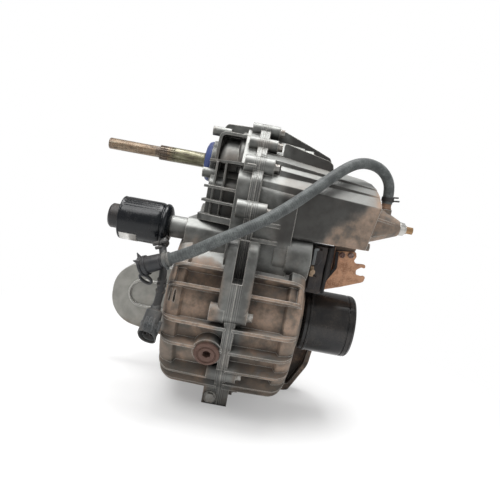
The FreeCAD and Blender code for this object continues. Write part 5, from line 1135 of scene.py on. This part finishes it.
@dataclass
class VentLine:
    """The fabric-covered vent hose from the nipple on the cone to the fitting beside the solenoid."""

    outer_mm: float = 7.5
    length_mm: float = 399.3
    route: Sequence[Point] = (
        (188.5, -20.0, 192.0), (188.5, -20.0, 212.5), (181.5, -22.0, 227.5), (168.5, -28.0, 237.5),
        (152.5, -36.0, 241.0), (136.5, -45.0, 239.5), (121.0, -55.0, 232.0), (105.0, -66.0, 219.0),
        (84.0, -80.0, 199.0), (50.0, -98.0, 166.0), (12.0, -116.0, 136.0), (-30.0, -126.0, 110.0),
        (-64.0, -122.0, 86.0), (-98.0, -112.0, 68.0))

    def build(self) -> Pieces:
        """Returns:
            The hose.
        """
        hose = tube("vent_hose_jacket", self.route, self.outer_mm, BraidedRubber())
        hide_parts("vent_hose")
        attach(hose, "housing")
        tuple(place(*self.route[0]))
        return [hose]


@dataclass
class SolenoidLead:
    """The loom from the solenoid down to the two-way connector."""

    outer_mm: float = 5.2
    length_mm: float = 102.3
    thread_mm: float = 2.2
    route: Sequence[Point] = (
        (-112.0, -69.0, 85.5), (-104.0, -83.0, 72.0), (-99.0, -94.5, 53.0), (-96.0, -107.0, 32.0),
        (-96.0, -115.0, 13.0), (-99.0, -117.5, 0.0))

    def build(self) -> Pieces:
        """Returns:
            The lead.
        """
        # Woven sleeve: flat black, hardly dusty.
        sleeve = BraidedRubber("woven_loom_sleeve", "#121315", "#3a3733", self.thread_mm, self.outer_mm, self.length_mm)
        lead = tube("solenoid_lead_loom", self.route, self.outer_mm, sleeve)
        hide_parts("solenoid_lead")
        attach(lead, "housing")
        tuple(place(*self.route[0]))
        return [lead]


@dataclass
class Studio:
    """Pale floor, white surround, soft lamps and the camera of the photograph."""

    target: Point = (8.0, 0.0, 88.0)
    distance_mm: float = 720.0
    elevation: float = 7.0
    roll: float = 10.5
    lens_mm: float = 34.56
    sensor_mm: float = 36.0
    floor_half_m: float = 6.0
    card_glow: float = 0.3
    glow_from_to_m: tuple[float, float] = (0.14, 0.6)
    room_light: float = 0.42
    glossy_white: float = 0.12
    # Name, place in metres, side in metres and power in watts.
    lamps: Sequence[tuple[str, Point, float, float]] = (
        ("key_lamp", (-0.7, -0.8, 1.7), 1.0, 21.0), ("fill_lamp", (1.3, -1.1, 0.8), 1.4, 5.0),
        ("top_lamp", (0.0, 0.1, 1.9), 1.0, 30.0))
    lit_point: Point = (0.0, 0.0, 0.2)

    def camera(self) -> None:
        """Places the camera, rolled as the object leans in the photograph."""
        data = bpy.data.cameras.new("photo_camera")
        data.lens, data.sensor_width, data.clip_start = self.lens_mm, self.sensor_mm, 0.01
        camera = put("photo_camera", data)
        tilt = math.radians(self.elevation)
        back = Vector((0.0, -math.cos(tilt), math.sin(tilt)))
        aim = (-back).to_track_quat("-Z", "Y").to_matrix().to_4x4()
        turn = Matrix.Rotation(math.radians(self.roll), 4, "Z")
        camera.matrix_world = Matrix.Translation(place(*self.target) + back * self.distance_mm * MM) @ aim @ turn
        bpy.context.scene.camera = camera

    def light(self) -> None:
        """Hangs the square soft lamps, facing the object."""
        for name, where, side, watts in self.lamps:
            data = bpy.data.lights.new(name, "AREA")
            data.size, data.energy = side, watts
            lamp = put(name, data)
            lamp.location = where
            lamp.rotation_euler = (Vector(self.lit_point) - Vector(where)).to_track_quat("-Z", "Y").to_euler()

    def floor(self) -> None:
        """Lays the pale floor under the feet."""
        r = self.floor_half_m
        mesh = bpy.data.meshes.new("studio_floor")
        mesh.from_pydata([(-r, -r, 0), (r, -r, 0), (r, r, 0), (-r, r, 0)], [], [(0, 1, 2, 3)])
        # White card that glows to the room's white away from the object, so that no horizon shows.
        t = Tree(bpy.data.materials.new("white_card"))
        away = t.add(Node.RAMP, t.add(Node.LENGTH, t.add(Node.OBJECT)), *self.glow_from_to_m)
        glowing = t.add(Node.ADD, self.card_glow, t.add(Node.TIMES, away, 1.0 - self.card_glow), use_clamp=True)
        seen = t.add(Node.TIMES, t.add(Node.CAMERA_RAY), glowing)
        t.add(Node.OUTPUT, t.add(Node.SHARE, seen, t.add(Node.CARD, "#f4f4f4"), t.add(Node.GLOW, "#ffffff", 1.0)))
        mesh.materials.append(t.owner)
        put("studio_floor", mesh)

    def surround(self) -> None:
        """Lights the room softly and shows it white behind the object, and partly in its gloss."""
        t = Tree(bpy.data.worlds.new("white_room"))
        glossy = t.add(Node.TIMES, t.add(Node.GLOSSY_RAY), self.glossy_white)
        seen = t.add(Node.ADD, t.add(Node.CAMERA_RAY), glossy, use_clamp=True)
        t.add(Node.WORLD_OUTPUT, t.add(Node.SHARE, seen, t.add(Node.ROOM, "#ffffff", self.room_light),
                                       t.add(Node.ROOM, "#ffffff", 1.0)))
        bpy.context.scene.world = t.owner

    def build(self) -> None:
        """Sets up the whole studio."""
        self.camera()
        self.floor()
        self.surround()
        self.light()
        bpy.context.scene.view_settings.view_transform = "Standard"


def main() -> None:
    """Dresses the nodes, builds the sub-assemblies in order and reports each piece."""
    logging.basicConfig(level=logging.INFO, format="%(message)s")
    dress_nodes()
    for part in (Solenoid(), HoseEnd(), LeadConnector(), RangeSwitch(), FillPlug(), VentNipple(), VentLine(),
                 SolenoidLead()):
        for piece in part.build():
            log.info("built %s", piece.name)
    Studio().build()


if __name__ == "__main__":
    main()
